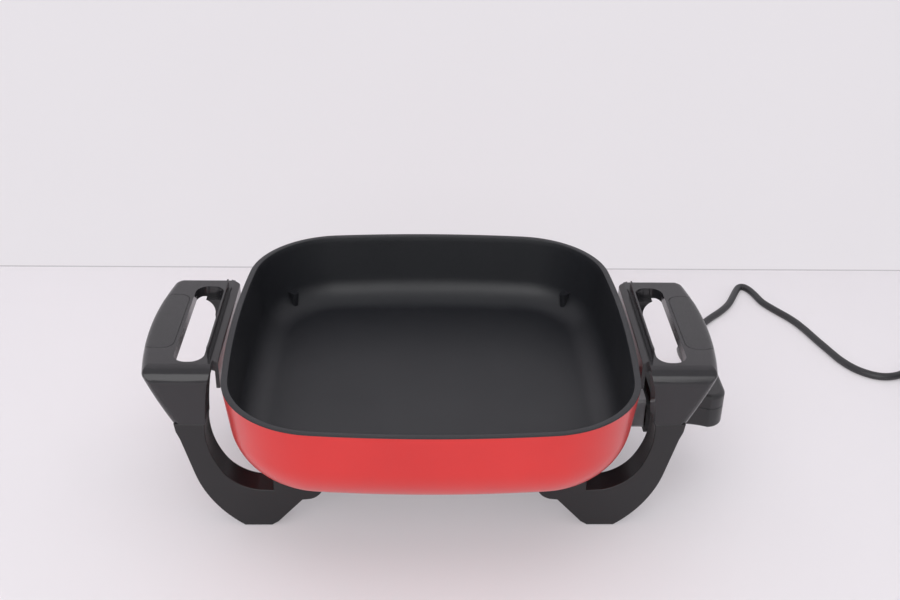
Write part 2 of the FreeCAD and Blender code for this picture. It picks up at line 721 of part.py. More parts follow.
def finger_guard():
    """Thin upright blade between the slot and the pan, its ends cut to a point."""
    low = HANDLE_TOP - BLADE_SINK
    high = HANDLE_TOP + BLADE_PROUD
    x = BLADE_X - BLADE_THICK / 2
    outline = [(-BLADE_HALF, low), (BLADE_HALF, low), (BLADE_HALF, high), (BLADE_HALF - 9, high - 0.8),
               (-BLADE_HALF + 9, high - 0.8), (-BLADE_HALF, high)]
    wire = Part.makePolygon([V(x, y, z) for y, z in outline + outline[:1]])
    return Part.Face(wire).extrude(V(BLADE_THICK, 0, 0))


def leg_outline(end, y):
    """Front view of one leg with the post that carries the pan, as a face at this y."""
    top_in = HANDLE_IN_X + APRON_DRAFT_IN + 0.3
    foot = PAD_PROUD
    knee = by_grip(LEG_KNEE, y)
    if end < 0:
        top_out = HANDLE_REACH - GRIP_BOW - APRON_DRAFT_OUT - 1.0
        outer = [(top_out, y, SEAM_Z), (top_out - 0.9, y, SEAM_Z - 7), (top_out - 3.4, y, SEAM_Z - 13.5), knee]
    else:
        outer = [(REAR_SEAM_X - 0.3, y, SEAM_Z), (REAR_SEAM_X + 0.8, y, SEAM_Z - 13.5), knee]
    edges = [edge((top_in, y, SEAM_Z), outer[0])]
    edges += [edge(a, b) for a, b in zip(outer, outer[1:])]
    edges += [
        arc(knee, by_grip(LEG_SHIN, y), (FOOT_X1, y, foot)),
        edge((FOOT_X1, y, foot), (FOOT_X0, y, foot)),
        edge((FOOT_X0, y, foot), (FOOT_X0 - 5.0, y, foot + LEG_FOOT_RISE)),
        edge((FOOT_X0 - 5.0, y, foot + LEG_FOOT_RISE), by_arm(ARM_TOE, y)),
        edge(by_arm(ARM_TOE, y), by_arm(ARM_FLAT, y)),
        arc(by_arm(ARM_FLAT, y), by_arm(ARM_ROUND, y), by_arm(ARM_BACK, y)),
        edge(by_arm(ARM_BACK, y), (ARM_X0, y, ARM_HEEL_Z)),
        edge((ARM_X0, y, ARM_HEEL_Z), (ARM_X0, y, BASE_Z)),
        edge((ARM_X0, y, BASE_Z), (POST_X1, y, BASE_Z)),
        edge((POST_X1, y, BASE_Z), by_arm(ARCH_FOOT, y)),
        edge(by_arm(ARCH_FOOT, y), by_arm(ARCH_START, y)),
        arc(by_arm(ARCH_START, y), by_grip(ARCH_LOW, y), by_grip(ARCH_BEND, y)),
        arc(by_grip(ARCH_BEND, y), by_grip(ARCH_HIGH, y), (top_in, y, SEAM_Z)),
    ]
    return face(edges)


def leg(end):
    """One leg plate with its tongue, screw ways and the foot pad's recess."""
    y = HANDLE_HALF_L
    plate = leg_outline(end, end * y).extrude(V(0, -end * APRON_DEPTH, 0))
    outside = [e for e in plate.Edges if min(abs(e.BoundBox.YMin), abs(e.BoundBox.YMax)) > y - 0.01]
    plate = plate.makeFillet(1.0, outside)
    screw_y = end * leg_screw_y()
    seat = leg_screw_tip() - LEG_SCREW_L
    return plate.fuse(tongue(end, 0)).cut([
        Part.makeCylinder(LEG_SCREW_R + SCREW_PLAY, BASE_Z + 1, V(LEG_SCREW_X, screw_y, 0)),
        Part.makeCylinder(LEG_SCREW_HEAD_R + 0.5, seat, V(LEG_SCREW_X, screw_y, 0)),
        foot_pad_block(end, PAD_GAP),
        handle_screw_hole(end),
    ])


def leg_frame():
    """Right-hand stand: front and back legs, posts under the pan and a ribbed channel between."""
    inner = HANDLE_HALF_L - APRON_DEPTH
    beam = box(BEAM_X0, BEAM_X1, -inner - 1, inner + 1, BEAM_Z0, BEAM_Z1)
    beam = beam.makeFillet(3.0, [e for e in beam.Edges if e.BoundBox.YLength > 10 and e.BoundBox.ZMin > BEAM_Z0 + 1])
    hollow = box(BEAM_X0 + BEAM_WALL, BEAM_X1 - BEAM_WALL, -inner, inner, BEAM_Z0 - 1, BEAM_Z1 - BEAM_WALL)
    beam = beam.cut(hollow)
    ribs = []
    for step in (-1, 0, 1):
        at = step * inner / 2
        ribs.append(box(BEAM_X0 + 1, BEAM_X1 - 1, at - 1.2, at + 1.2, BEAM_Z0 + 4, BEAM_Z1 - 1))
    return beam.fuse(ribs + [leg(end) for end in ENDS]).removeSplitter()


def foot_pad_block(end, gap):
    """Rubber pad's outline under one foot, grown by a gap for its recess."""
    y = end * leg_screw_y()
    half = APRON_DEPTH / 2 - PAD_MARGIN + gap
    return box(FOOT_X0 + PAD_MARGIN - gap, FOOT_X1 - PAD_MARGIN + gap, y - half, y + half, 0, PAD_THICK)


def foot_pads():
    return Part.makeCompound([foot_pad_block(end, 0) for end in ENDS])


def leg_screws():
    seat = leg_screw_tip() - LEG_SCREW_L
    shank = Part.makeCylinder(LEG_SCREW_R, LEG_SCREW_L, V(LEG_SCREW_X, leg_screw_y(), seat))
    head = Part.makeCylinder(LEG_SCREW_HEAD_R, LEG_SCREW_HEAD_H,
                             V(LEG_SCREW_X, leg_screw_y(), seat - LEG_SCREW_HEAD_H))
    return Part.makeCompound(both_ends(shank.fuse(head)))


def guard_screws():
    screws = []
    for y in (-GUARD_SCREW_Y, GUARD_SCREW_Y):
        back = BOSS_X1 + GUARD_BACK
        shank = rod(GUARD_SCREW_R - 0.05, (BOSS_X1 + 0.2, y, GUARD_SCREW_Z), (back, y, GUARD_SCREW_Z))
        head = rod(GUARD_SCREW_R * 1.7, (back, y, GUARD_SCREW_Z), (back + 1.4, y, GUARD_SCREW_Z))
        screws.append(shank.fuse(head))
    return Part.makeCompound(screws)


def control_plan(inset, z):
    """Plan of the heat control: waisted near the pan, full width at its rounded outer end."""
    x0 = CONTROL_X0 + inset
    neck = CONTROL_WAIST_HALF - 1.0 - inset
    full = CONTROL_HALF_W - inset
    end = CONTROL_REACH - inset
    r = CONTROL_CORNER_R - inset
    cut = r * (1 - math.sqrt(0.5))
    bend_x = CONTROL_WAIST_X - 15.0
    right = [
        edge((x0, neck, z), (bend_x, neck, z)),
        arc((bend_x, neck, z), (CONTROL_WAIST_X, CONTROL_WAIST_HALF - inset, z), (end - r, full, z)),
        arc((end - r, full, z), (end - cut, full - cut, z), (end, full - r, z)),
    ]
    left = [mirror_y(e) for e in right]
    ends = [edge((end, full - r, z), (end, r - full, z)), edge((x0, -neck, z), (x0, neck, z))]
    return face(right + left + ends)


def control_posts(z0, z1):
    return [Part.makeCylinder(POST_R, z1 - z0, V(x, y, z0)) for x, y in SCREW_POSTS]


def control_bores(z0, z1, grow=0.1):
    return [Part.makeCylinder(CASE_SCREW_R + grow, z1 - z0, V(x, y, z0)) for x, y in SCREW_POSTS]


def lower_shell():
    """Bottom half of the control's case, open at the top, with the cord's doorway at the back."""
    shell = control_plan(0, CONTROL_Z0).extrude(V(0, 0, CONTROL_SEAM_Z - CONTROL_Z0))
    bottom = [e for e in shell.Edges if e.BoundBox.ZMax < CONTROL_Z0 + 0.01 and e.BoundBox.XMax > CONTROL_X0 + 1]
    shell = shell.makeFillet(2.5, bottom)
    lip = [e for e in shell.Edges if e.BoundBox.ZMin > CONTROL_SEAM_Z - 0.01 and e.BoundBox.XMax > CONTROL_X0 + 1]
    shell = shell.makeChamfer(CONTROL_SEAM_GAP, lip)
    x0, x1, half = CAVITY
    shell = shell.cut(box(x0, x1, -half, half, CONTROL_Z0 + CONTROL_WALL, CONTROL_SEAM_Z + 1))
    shell = shell.fuse(control_posts(CONTROL_Z0 + 1, CONTROL_SEAM_Z))
    heads = [Part.makeCylinder(CASE_SCREW_R * 2, 3.0, V(x, y, CONTROL_Z0 - 1)) for x, y in SCREW_POSTS]
    notch = [(FINGER_NOTCH_X - FINGER_NOTCH_HALF, CONTROL_SEAM_Z + 1),
             (FINGER_NOTCH_X + FINGER_NOTCH_HALF, CONTROL_SEAM_Z + 1), (FINGER_NOTCH_X, CONTROL_SEAM_Z - 4)]
    fingers = [xz_prism(notch, CONTROL_HALF_W - 1.6, CONTROL_HALF_W + 1)]
    return shell.cut(wall_bores() + heads + control_bores(CONTROL_Z0, CONTROL_SEAM_Z + 1)
                     + fingers + [mirror_y(f) for f in fingers]
                     + [rod(RELIEF_R0 + 0.1, (CORD_X, CAVITY[2] - 1, CORD_Z), (CORD_X, CONTROL_HALF_W + 2, CORD_Z))])


def wall_bores():
    """Ways through the case's inner wall for the probe and the two sockets."""
    bores = [rod(PROBE_R + 0.1, (CONTROL_X0 - 1, 0, ELEMENT_Z), (CAVITY[0] + 1, 0, ELEMENT_Z))]
    for side in (-1, 1):
        y = side * PIN_PITCH / 2
        bores.append(rod(SOCKET_R + 0.05, (CONTROL_X0 - 1, y, ELEMENT_Z), (CAVITY[0] + 1, y, ELEMENT_Z)))
    return bores


def upper_shell():
    """Top half of the case, with the dial's well, the lamp's window and the shaft's bush."""
    shell = control_plan(0, CONTROL_SEAM_Z).extrude(V(0, 0, CONTROL_TOP - CONTROL_SEAM_Z))
    top = [e for e in shell.Edges if e.BoundBox.ZMin > CONTROL_TOP - 0.01 and e.BoundBox.XMax > CONTROL_X0 + 1]
    shell = shell.makeFillet(3.5, top)
    x0, x1, half = CAVITY
    shell = shell.cut(box(x0, x1, -half, half, CONTROL_SEAM_Z - 1, CAVITY_TOP))
    shell = shell.fuse(control_posts(CONTROL_SEAM_Z, CAVITY_TOP + 0.5))
    return shell.cut([
        Part.makeCylinder(DIAL_R + DIAL_WELL_GAP, 10, V(DIAL_X, 0, dial_floor())),
        Part.makeCylinder(SHAFT_R + SHAFT_GAP, 20, V(DIAL_X, 0, CONTROL_SEAM_Z)),
        Part.makeCylinder(LAMP_R + 0.05, 20, V(LAMP_X, 0, CAVITY_TOP - 1)),
    ] + control_bores(CONTROL_SEAM_Z - 1, CAVITY_TOP + 1.5))


def dial_floor():
    return DIAL_TOP - DIAL_H + 0.5


def dial_knob():
    """Fluted disc with a raised pointer bar."""
    low = dial_floor() + 0.3
    disc = Part.makeCylinder(DIAL_R, DIAL_TOP - 1.2 - low, V(DIAL_X, 0, low))
    top = [e for e in disc.Edges if e.BoundBox.ZMin > DIAL_TOP - 1.3]
    disc = disc.makeFillet(1.0, top)
    flutes = []
    for step in range(DIAL_FLUTES):
        turn = 2 * math.pi * step / DIAL_FLUTES
        at = V(DIAL_X + (DIAL_R + 0.5) * math.cos(turn), (DIAL_R + 0.5) * math.sin(turn), low - 1)
        flutes.append(Part.makeCylinder(1.1, 10, at))
    disc = disc.cut(flutes)
    bar = box(DIAL_X - 3.0, DIAL_X + DIAL_R - 3.5, -2.0, 2.0, DIAL_TOP - 2.0, DIAL_TOP)
    bar = bar.makeFillet(1.9, [e for e in bar.Edges if e.BoundBox.ZLength > 1])
    socket = Part.makeCylinder(SHAFT_R, 3.0, V(DIAL_X, 0, low - 0.5))
    return disc.fuse(bar).cut(socket)


def dial_shaft():
    """Stem from the dial to the cam that sets the contacts."""
    low = dial_floor() + 0.3
    cam_z = ELEMENT_Z + 2.6
    stem = Part.makeCylinder(SHAFT_R, low + 2.5 - cam_z, V(DIAL_X, 0, cam_z))
    cam = Part.makeCylinder(CAM_R, CAM_T, V(DIAL_X + CAM_OFFSET, 0, cam_z))
    return stem.fuse(cam)


def control_nose():
    """Heat-proof block that fills the guard's mouth and holds the sockets and the probe."""
    half = GUARD_W / 2 - GUARD_WALL - NOSE_GAP
    block = box(NOSE_X0, FLANGE_X0, -half, half, GUARD_Z0 + GUARD_WALL + NOSE_GAP, GUARD_Z1 - GUARD_WALL - NOSE_GAP)
    block = block.makeFillet(1.5, [e for e in block.Edges if e.BoundBox.XLength > 10])
    bores = [rod(PROBE_R + 0.02, (NOSE_X0 - 1, 0, ELEMENT_Z), (FLANGE_X0 + 1, 0, ELEMENT_Z))]
    for side in (-1, 1):
        y = side * PIN_PITCH / 2
        bores.append(rod(SOCKET_R + 0.02, (NOSE_X0 - 1, y, ELEMENT_Z), (FLANGE_X0 + 1, y, ELEMENT_Z)))
    return block.cut(bores)


def control_flange():
    """Plate between nose and case that stops against the guard's mouth."""
    plate = box(FLANGE_X0, CONTROL_X0, -FLANGE_HALF_W, FLANGE_HALF_W, GUARD_Z0 - 4.0, GUARD_Z1 - 4.5)
    plate = plate.makeFillet(4.0, [e for e in plate.Edges if e.BoundBox.XLength > 1 and e.BoundBox.YLength < 1])
    bores = [rod(PROBE_R + 0.02, (FLANGE_X0 - 1, 0, ELEMENT_Z), (CONTROL_X0 + 1, 0, ELEMENT_Z))]
    for side in (-1, 1):
        y = side * PIN_PITCH / 2
        bores.append(rod(SOCKET_R + 0.02, (FLANGE_X0 - 1, y, ELEMENT_Z), (CONTROL_X0 + 1, y, ELEMENT_Z)))
    return plate.cut(bores)


def probe_rod():
    tip = BOSS_X1 - PROBE_REACH + 1.0
    rod_ = rod(PROBE_R, (tip, 0, ELEMENT_Z), (CAVITY[0] + 8.0, 0, ELEMENT_Z))
    nose = [e for e in rod_.Edges if e.BoundBox.XMax < tip + 0.01]
    return rod_.makeFillet(PROBE_R - 0.4, nose)


def contact_sockets():
    """Two split brass tubes that the terminal pins enter."""
    tubes = []
    for side in (-1, 1):
        y = side * PIN_PITCH / 2
        tube = rod(SOCKET_R, (SOCKET_X0, y, ELEMENT_Z), (SOCKET_X1, y, ELEMENT_Z))
        tube = tube.cut(rod(PIN_R + SOCKET_BORE_GAP, (SOCKET_X0 - 1, y, ELEMENT_Z), (SOCKET_X1 - 6, y, ELEMENT_Z)))
        tube = tube.cut(box(SOCKET_X0 - 1, SOCKET_X1 - 10, y - 0.5, y + 0.5, ELEMENT_Z, ELEMENT_Z + 6))
        tubes.append(tube)
    return Part.makeCompound(tubes)


def thermostat_block():
    """Ceramic block behind the probe that carries the contact strips."""
    x = CAVITY[0] + 8.0
    block = box(x, x + 8, -9.5, 9.5, ELEMENT_Z - 8, ELEMENT_Z + 2)
    return block.makeFillet(1.0, [e for e in block.Edges if e.BoundBox.ZLength > 5])


def contact_strips():
    """Lower fixed strip and upper strip under the cam, each with its contact button."""
    x0 = CAVITY[0] + 16.0
    x1 = DIAL_X + 6.0
    strips = []
    for z, facing in ((ELEMENT_Z - 4.0, 1), (ELEMENT_Z + 0.5, -1)):
        strip = box(x0, x1, -3.0, 3.0, z, z + 0.5)
        at = z + 0.5 if facing > 0 else z - 1.2
        strips.append(strip.fuse(Part.makeCylinder(1.6, 1.2, V(x1 - 3.0, 0, at))))
    return Part.makeCompound(strips)


def lamp_lens():
    lens = Part.makeCylinder(LAMP_R, CONTROL_TOP + 0.4 - CAVITY_TOP, V(LAMP_X, 0, CAVITY_TOP))
    return lens.makeFillet(0.8, [e for e in lens.Edges if e.BoundBox.ZMin > CONTROL_TOP])


def lamp_bulb():
    body = Part.makeCylinder(1.9, 5.5, V(LAMP_X, 0, CAVITY_TOP - 6.0))
    return body.fuse(Part.makeSphere(1.9, V(LAMP_X, 0, CAVITY_TOP - 2.2)).common(
        Part.makeCylinder(1.9, 2.0, V(LAMP_X, 0, CAVITY_TOP - 2.2))))


def case_screws():
    screws = []
    for x, y in SCREW_POSTS:
        shank = Part.makeCylinder(CASE_SCREW_R, CAVITY_TOP - CONTROL_Z0 - 2, V(x, y, CONTROL_Z0 + 2.0))
        head = Part.makeCylinder(CASE_SCREW_R * 1.85, 1.5, V(x, y, CONTROL_Z0 + 0.5))
        screws.append(shank.fuse(head))
    return Part.makeCompound(screws)


def strain_relief():
    """Tapered rubber sleeve with three rings, from inside the case to the free cord."""
    y0 = CAVITY[2] + 0.2
    wall_y = CONTROL_HALF_W
    end = V(CORD_X, wall_y + RELIEF_L, CORD_Z)
    root = rod(RELIEF_R0, (CORD_X, y0, CORD_Z), (CORD_X, wall_y, CORD_Z))
    cone = Part.makeCone(RELIEF_R0, RELIEF_R1, RELIEF_L, V(CORD_X, wall_y, CORD_Z), V(0, 1, 0))
    rings = []
    for step in range(3):
        at = wall_y + 6.0 + step * 6.5
        r = RELIEF_R0 - (RELIEF_R0 - RELIEF_R1) * (at - wall_y) / RELIEF_L
        groove = Part.makeCylinder(r + 1, 1.8, V(CORD_X, at, CORD_Z), V(0, 1, 0))
        rings.append(groove.cut(Part.makeCylinder(r - 0.9, 1.8, V(CORD_X, at, CORD_Z), V(0, 1, 0))))
    return root.fuse(cone).cut(rings), end


def coil_point(turned):
    """Point and direction of the coil after this many degrees, clockwise from its back."""
    climb_from, climb_to = 360.0, 540.0
    middle = 450.0
    r0 = COIL_R + COIL_STEP / 2
    if turned <= middle:
        r = r0 - COIL_STEP * turned / 360.0
        slope = -COIL_STEP / 360.0
    else:
        r = r0 - COIL_STEP * middle / 360.0 + COIL_STEP * (turned - middle) / 360.0
        slope = COIL_STEP / 360.0
    share = min(max((turned - climb_from) / (climb_to - climb_from), 0.0), 1.0)
    z = CORD_D / 2 + COIL_LIFT + COIL_CLIMB * (3 * share ** 2 - 2 * share ** 3)
    rise = COIL_CLIMB * 6 * share * (1 - share) / (climb_to - climb_from)
    angle = math.radians(90.0 - turned)
    point = V(COIL_AT[0] + r * math.cos(angle), COIL_AT[1] + r * math.sin(angle), z)
    per_degree = math.radians(1.0)
    way = V(slope * math.cos(angle) + r * per_degree * math.sin(angle),
            slope * math.sin(angle) - r * per_degree * math.cos(angle), rise)
    if abs(turned - middle) < 1e-6:
        way = V(r * per_degree * math.sin(angle), -r * per_degree * math.cos(angle), rise)
    return point, way.normalize()


def one_arc(start, way, end):
    """Arc that leaves start along way and ends at end."""
    chord = end - start
    along = chord * (1 / chord.Length)
    lean = math.acos(min(1.0, way.dot(along)))
    if lean < 1e-5:
        return Part.makeLine(start, end)
    out = way - along * way.dot(along)
    out.normalize()
    middle = start + chord * 0.5 + out * (chord.Length / 2 * math.tan(lean / 2))
    return Part.Arc(start, middle, end).toShape()


def biarc(p0, t0, p1, t1):
    """Two arcs from p0 to p1, tangent to both directions and to each other."""
    v = p1 - p0
    t = t0 + t1
    spread = 2 * (1 - t0.dot(t1))
    vt = v.dot(t)
    d = (-vt + math.sqrt(vt * vt + spread * v.dot(v))) / spread
    joint = (p0 + p1 + (t0 - t1) * d) * 0.5
    first = one_arc(p0, t0, joint)
    second = one_arc(p1, t1 * -1, joint)
    return [first, second]


def coil_ends():
    start, first = coil_point(0)
    last, way = coil_point(COIL_END)
    return start - first * CORD_D, first, last + way * COIL_TAIL, way


def cord_coil():
    """The put-away cord: one tube wound inwards, up a layer and out again."""
    stops = [0.0]
    while stops[-1] < COIL_END - 1e-6:
        stops.append(min(stops[-1] + 90.0, COIL_END))
    begin, first, end, way = coil_ends()
    points = [coil_point(s) for s in stops]
    edges = [Part.makeLine(begin, points[0][0])]
    for (p0, t0), (p1, t1) in zip(points, points[1:]):
        edges += biarc(p0, t0, p1, t1)
    edges.append(Part.makeLine(points[-1][0], end))
    path = Part.Wire(edges)
    print(f"coil length {path.Length:.0f} mm, least gap to itself {coil_gap():.2f} mm")
    ring = Part.Wire(Part.makeCircle(CORD_D / 2, begin, first))
    return path.makePipeShell([ring], True, False)


def coil_gap():
    """Smallest clear distance between two turns, measured on points a few degrees apart."""
    step = 5
    places = [coil_point(a)[0] for a in range(0, int(COIL_END) + 1, step)]
    apart = 200 // step
    least = min((a - b).Length for i, a in enumerate(places) for b in places[i + apart:])
    return least - CORD_D


def cord_tie():
    """Flat band round the two layers on the coil's side nearest the appliance."""
    turned = 270.0
    r = COIL_R + COIL_STEP / 2 - COIL_STEP * turned / 360.0
    x = COIL_AT[0] - r
    half = CORD_D / 2 + 0.4
    top = CORD_D + COIL_LIFT + COIL_CLIMB + 0.1
    low = COIL_LIFT - 0.05
    band = box(x - half - TIE_T, x + half + TIE_T, -TIE_W / 2, TIE_W / 2, low - TIE_T, top + TIE_T)
    band = band.makeFillet(2.5, [e for e in band.Edges if e.BoundBox.YLength > 5])
    hole = box(x - half, x + half, -TIE_W, TIE_W, low, top)
    hole = hole.makeFillet(1.9, [e for e in hole.Edges if e.BoundBox.YLength > 5])
    band = band.cut(hole)
    band.translate(V(0, COIL_AT[1], 0))
    return band


# The free cord's route: from the strain relief down to the table, back, round and off to the coil.
ROUTE = [
    (CORD_X, 82.0, CORD_Z),
    (224.0, 113.0, 42.0),
    (238.0, 148.0, 12.0),
    (250.0, 179.0, 3.5),
    (258.0, 203.0, 3.5),
    (269.0, 225.0, 3.5),
    (283.0, 241.0, 3.5),
    (296.0, 253.5, 3.5),
    (308.0, 268.5, 3.5),
    (318.0, 287.5, 3.5),
    (327.0, 307.0, 3.5),
    (339.0, 306.0, 3.5),
    (342.0, 290.0, 3.5),
    (343.5, 273.5, 3.5),
    (353.5, 256.5, 3.5),
    (365.5, 238.0, 3.5),
    (373.0, 217.5, 3.5),
    (378.0, 199.0, 3.5),
    (384.0, 180.5, 3.5),
    (389.5, 162.5, 3.5),
    (400.0, 144.5, 3.5),
    (418.0, 133.0, 3.5),
    (438.0, 136.5, 3.5),
    (452.0, 149.0, 3.6),
]


def rounded_route(points):
    """Straight runs joined by the largest arcs that two neighbouring runs allow."""
    edges = []
    radii = []
    here = points[0]
    for before, at, after in zip(points, points[1:], points[2:]):
        a = (before - at)
        b = (after - at)
        shorter = min(a.Length, b.Length)
        half_turn = (math.pi - a.getAngle(b)) / 2
        trim = 0.45 * shorter
        radius = trim / math.tan(half_turn)
        radii.append(radius)
        a.normalize()
        b.normalize()
        start = at + a * trim
        end = at + b * trim
        middle_way = (a + b).normalize()
        middle = at + middle_way * (radius / math.cos(half_turn) - radius)
        edges.append(Part.makeLine(here, start))
        edges.append(Part.Arc(start, middle, end).toShape())
        here = end
    edges.append(Part.makeLine(here, points[-1]))
    print("cord radii, mm:", " ".join(f"{r:.0f}" for r in radii))
    return Part.Wire(edges)


def power_cord(start):
    begin, first = coil_ends()[:2]
    points = [start] + [V(*p) for p in ROUTE] + [begin - first * 14.0, begin]
    path = rounded_route(points)
    ring = Part.Wire(Part.makeCircle(CORD_D / 2, start, V(0, 1, 0)))
    tube = path.makePipeShell([ring], True, False)
    area = math.pi * CORD_D ** 2 / 4
    print(f"cord length {path.Length:.0f} mm, volume over section times length "
          f"{tube.Volume / (area * path.Length):.4f}")
    return tube


def place_plug(shape):
    """Move a plug piece drawn along +X from the cord's end to where the cord ends."""
    end, way = coil_ends()[2:]
    shape = shape.copy()
    shape.rotate(V(0, 0, 0), UP, math.degrees(math.atan2(way.y, way.x)))
    shape.translate(end)
    return shape


def plug_body():
    """Moulded body with a tapered cord sleeve; it stands on the table at the cord's own height."""
    half_h = CORD_D / 2 + COIL_LIFT + COIL_CLIMB - 0.05
    sleeve = Part.makeCone(CORD_D / 2 + 0.9, CORD_D / 2 + 2.6, PLUG_RELIEF_L + 2, V(0, 0, 0), V(1, 0, 0))
    body = box(PLUG_RELIEF_L, PLUG_RELIEF_L + PLUG_L, -PLUG_W / 2, PLUG_W / 2, -half_h, half_h)
    body = body.makeFillet(6.0, [e for e in body.Edges if e.BoundBox.XLength > 10])
    back = [e for e in body.Edges if e.BoundBox.XMax < PLUG_RELIEF_L + 0.01]
    body = body.makeFillet(5.0, back)
    return place_plug(body.fuse(sleeve))


def plug_pins():
    """Two flat blades and a round earth pin."""
    face_x = PLUG_RELIEF_L + PLUG_L
    low_y = -4.0
    pins = []
    for side in (-1, 1):
        z = side * BLADE_PITCH / 2
        blade = box(face_x, face_x + BLADE_L, low_y - BLADE_W / 2, low_y + BLADE_W / 2,
                    z - BLADE_T / 2, z + BLADE_T / 2)
        tip = [e for e in blade.Edges if e.BoundBox.XMin > face_x + BLADE_L - 0.01 and e.BoundBox.ZLength > 1]
        pins.append(blade.makeFillet(1.2, tip))
    earth = rod(EARTH_R, (face_x, low_y + EARTH_OFFSET, 0), (face_x + EARTH_L, low_y + EARTH_OFFSET, 0))
    tip = [e for e in earth.Edges if e.BoundBox.XMin > face_x + EARTH_L - 0.01]
    pins.append(earth.makeFillet(1.6, tip))
    return place_plug(Part.makeCompound(pins))


def save_pair(name, right):
    """A right-hand piece and its mirror image on the left."""
    save("right_" + name, right)
    save("left_" + name, mirror_x(right))


def main():
    save("pan_body", pan_body())
    save("heating_element", element_tube(ELEMENT_R))
    save("terminal_pins", terminal_pins())
    save("terminal_beads", terminal_beads())
    save("terminal_guard", terminal_guard())
    save("guard_screws", guard_screws())
    save_pair("handle", handle())
    save_pair("grip_inlay", grip_inlay())
    save_pair("finger_guard", finger_guard())
    save_pair("handle_screws", handle_screws())
    save_pair("leg_frame", leg_frame())
    save_pair("leg_screws", leg_screws())
    save_pair("foot_pads", foot_pads())
    save("control_lower_shell", lower_shell())
    save("control_upper_shell", upper_shell())
    save("control_flange", control_flange())
    save("control_nose", control_nose())
    save("probe_rod", probe_rod())
    save("contact_sockets", contact_sockets())
    save("thermostat_block", thermostat_block())
    save("contact_strips", contact_strips())
    save("lamp_lens", lamp_lens())
    save("lamp_bulb", lamp_bulb())
    save("case_screws", case_screws())
    save("dial_knob", dial_knob())
    save("dial_shaft", dial_shaft())
    relief, relief_end = strain_relief()
    save("strain_relief", relief)
    save("power_cord", power_cord(relief_end))
    save("cord_coil", cord_coil())
    save("cord_tie", cord_tie())
    save("plug_body", plug_body())
    save("plug_pins", plug_pins())
    os.makedirs("parts", exist_ok=True)
    for name, shape in parts.items():
        if not shape.isValid():
            print("not valid:", name)
        shape.exportStep(f"parts/{name}.step")
        b = shape.BoundBox
        print(f"{name:22s} {len(shape.Solids)} {shape.Volume / 1000:8.2f} cm3"
              f" x {b.XMin:.1f} {b.XMax:.1f} y {b.YMin:.1f} {b.YMax:.1f} z {b.ZMin:.1f} {b.ZMax:.1f}")


main()
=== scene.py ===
# %% [markdown]
# # A square electric skillet in Blender
#
# The shapes that move and carry load come ready made, in metres, with the table at z = 0.
# This lesson dresses them: it skins the pan with a smooth enamel wall and a dark coating,
# rounds the grips where they roll into the front legs, lays the cord as one soft curve,
# gives every piece a procedural material, and lights it all like a bright product table.

# %% Modules and the ready-made solids
import math

import bmesh
import bpy
from mathutils import Matrix, Vector


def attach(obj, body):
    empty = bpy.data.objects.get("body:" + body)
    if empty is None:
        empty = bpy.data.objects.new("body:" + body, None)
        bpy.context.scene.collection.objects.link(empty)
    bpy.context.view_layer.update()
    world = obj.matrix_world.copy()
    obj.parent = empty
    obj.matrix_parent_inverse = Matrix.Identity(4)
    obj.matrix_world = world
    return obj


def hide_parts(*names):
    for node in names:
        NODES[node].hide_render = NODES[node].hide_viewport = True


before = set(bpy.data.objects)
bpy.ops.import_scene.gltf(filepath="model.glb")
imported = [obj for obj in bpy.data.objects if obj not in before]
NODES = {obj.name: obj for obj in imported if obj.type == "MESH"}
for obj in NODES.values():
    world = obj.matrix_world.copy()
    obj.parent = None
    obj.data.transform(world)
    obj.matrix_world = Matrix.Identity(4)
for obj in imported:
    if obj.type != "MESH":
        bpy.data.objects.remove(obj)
print(len(NODES), "solids loaded")


# %% Bringing the scene's placements up to date
def note_size():
    """Bring the scene's placements up to date."""
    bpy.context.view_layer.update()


note_size()

# %% [markdown]
# ## Millimetres about the pan
#
# A pan is drawn in millimetres from its own middle, and Blender works in metres. `at()`
# turns one into the other and adds the small shift between the pan's centre and the
# origin, which is the middle of the skillet's footprint. `drawn()` goes the other way.

# %% Points of the drawing
PAN_X = -7.25
MERGE = 1e-6    # metres between points that are the same


def at(x, y, z):
    """A point given in millimetres about the pan, in metres about the origin."""
    return Vector(((x + PAN_X) / 1000, y / 1000, z / 1000))


def drawn(point):
    """A point in metres about the origin, in millimetres about the pan."""
    return (point - at(0, 0, 0)) * 1000


print("the pan's centre is", PAN_X, "mm from the origin")

# %% [markdown]
# ## Camera
#
# The picture looks down into the pan from the front with a fairly long lens. The lens and
# its place were solved from the pan's rim, the grips and the feet. The picture is level to
# about one degree, which is the roll below. Its three directions are worked out first and
# put into the camera's matrix, because that needs no trial and error with Euler angles.

# %% The camera
CAMERA_AT = at(-9.8, -754.2, 581.35)
PITCH, YAW, ROLL = (math.radians(v) for v in (29.279, 1.811, 1.135))
LENS = 46.2
SENSOR = 36

forward = Vector((math.sin(YAW) * math.cos(PITCH), math.cos(YAW) * math.cos(PITCH), -math.sin(PITCH)))
side = Vector((math.cos(YAW), -math.sin(YAW), 0))
above = side.cross(forward)
right = side * math.cos(ROLL) + above * math.sin(ROLL)
top = above * math.cos(ROLL) - side * math.sin(ROLL)

camera = bpy.data.objects.new("Camera", bpy.data.cameras.new("Camera"))
camera.data.lens = LENS
camera.data.sensor_width = SENSOR
camera.data.clip_start = 0.01
camera.matrix_world = Matrix((
    (right.x, top.x, -forward.x, CAMERA_AT.x),
    (right.y, top.y, -forward.y, CAMERA_AT.y),
    (right.z, top.z, -forward.z, CAMERA_AT.z),
    (0, 0, 0, 1),
))
bpy.context.scene.collection.objects.link(camera)
bpy.context.scene.camera = camera
print("camera of", LENS, "mm at", [round(v, 3) for v in CAMERA_AT])

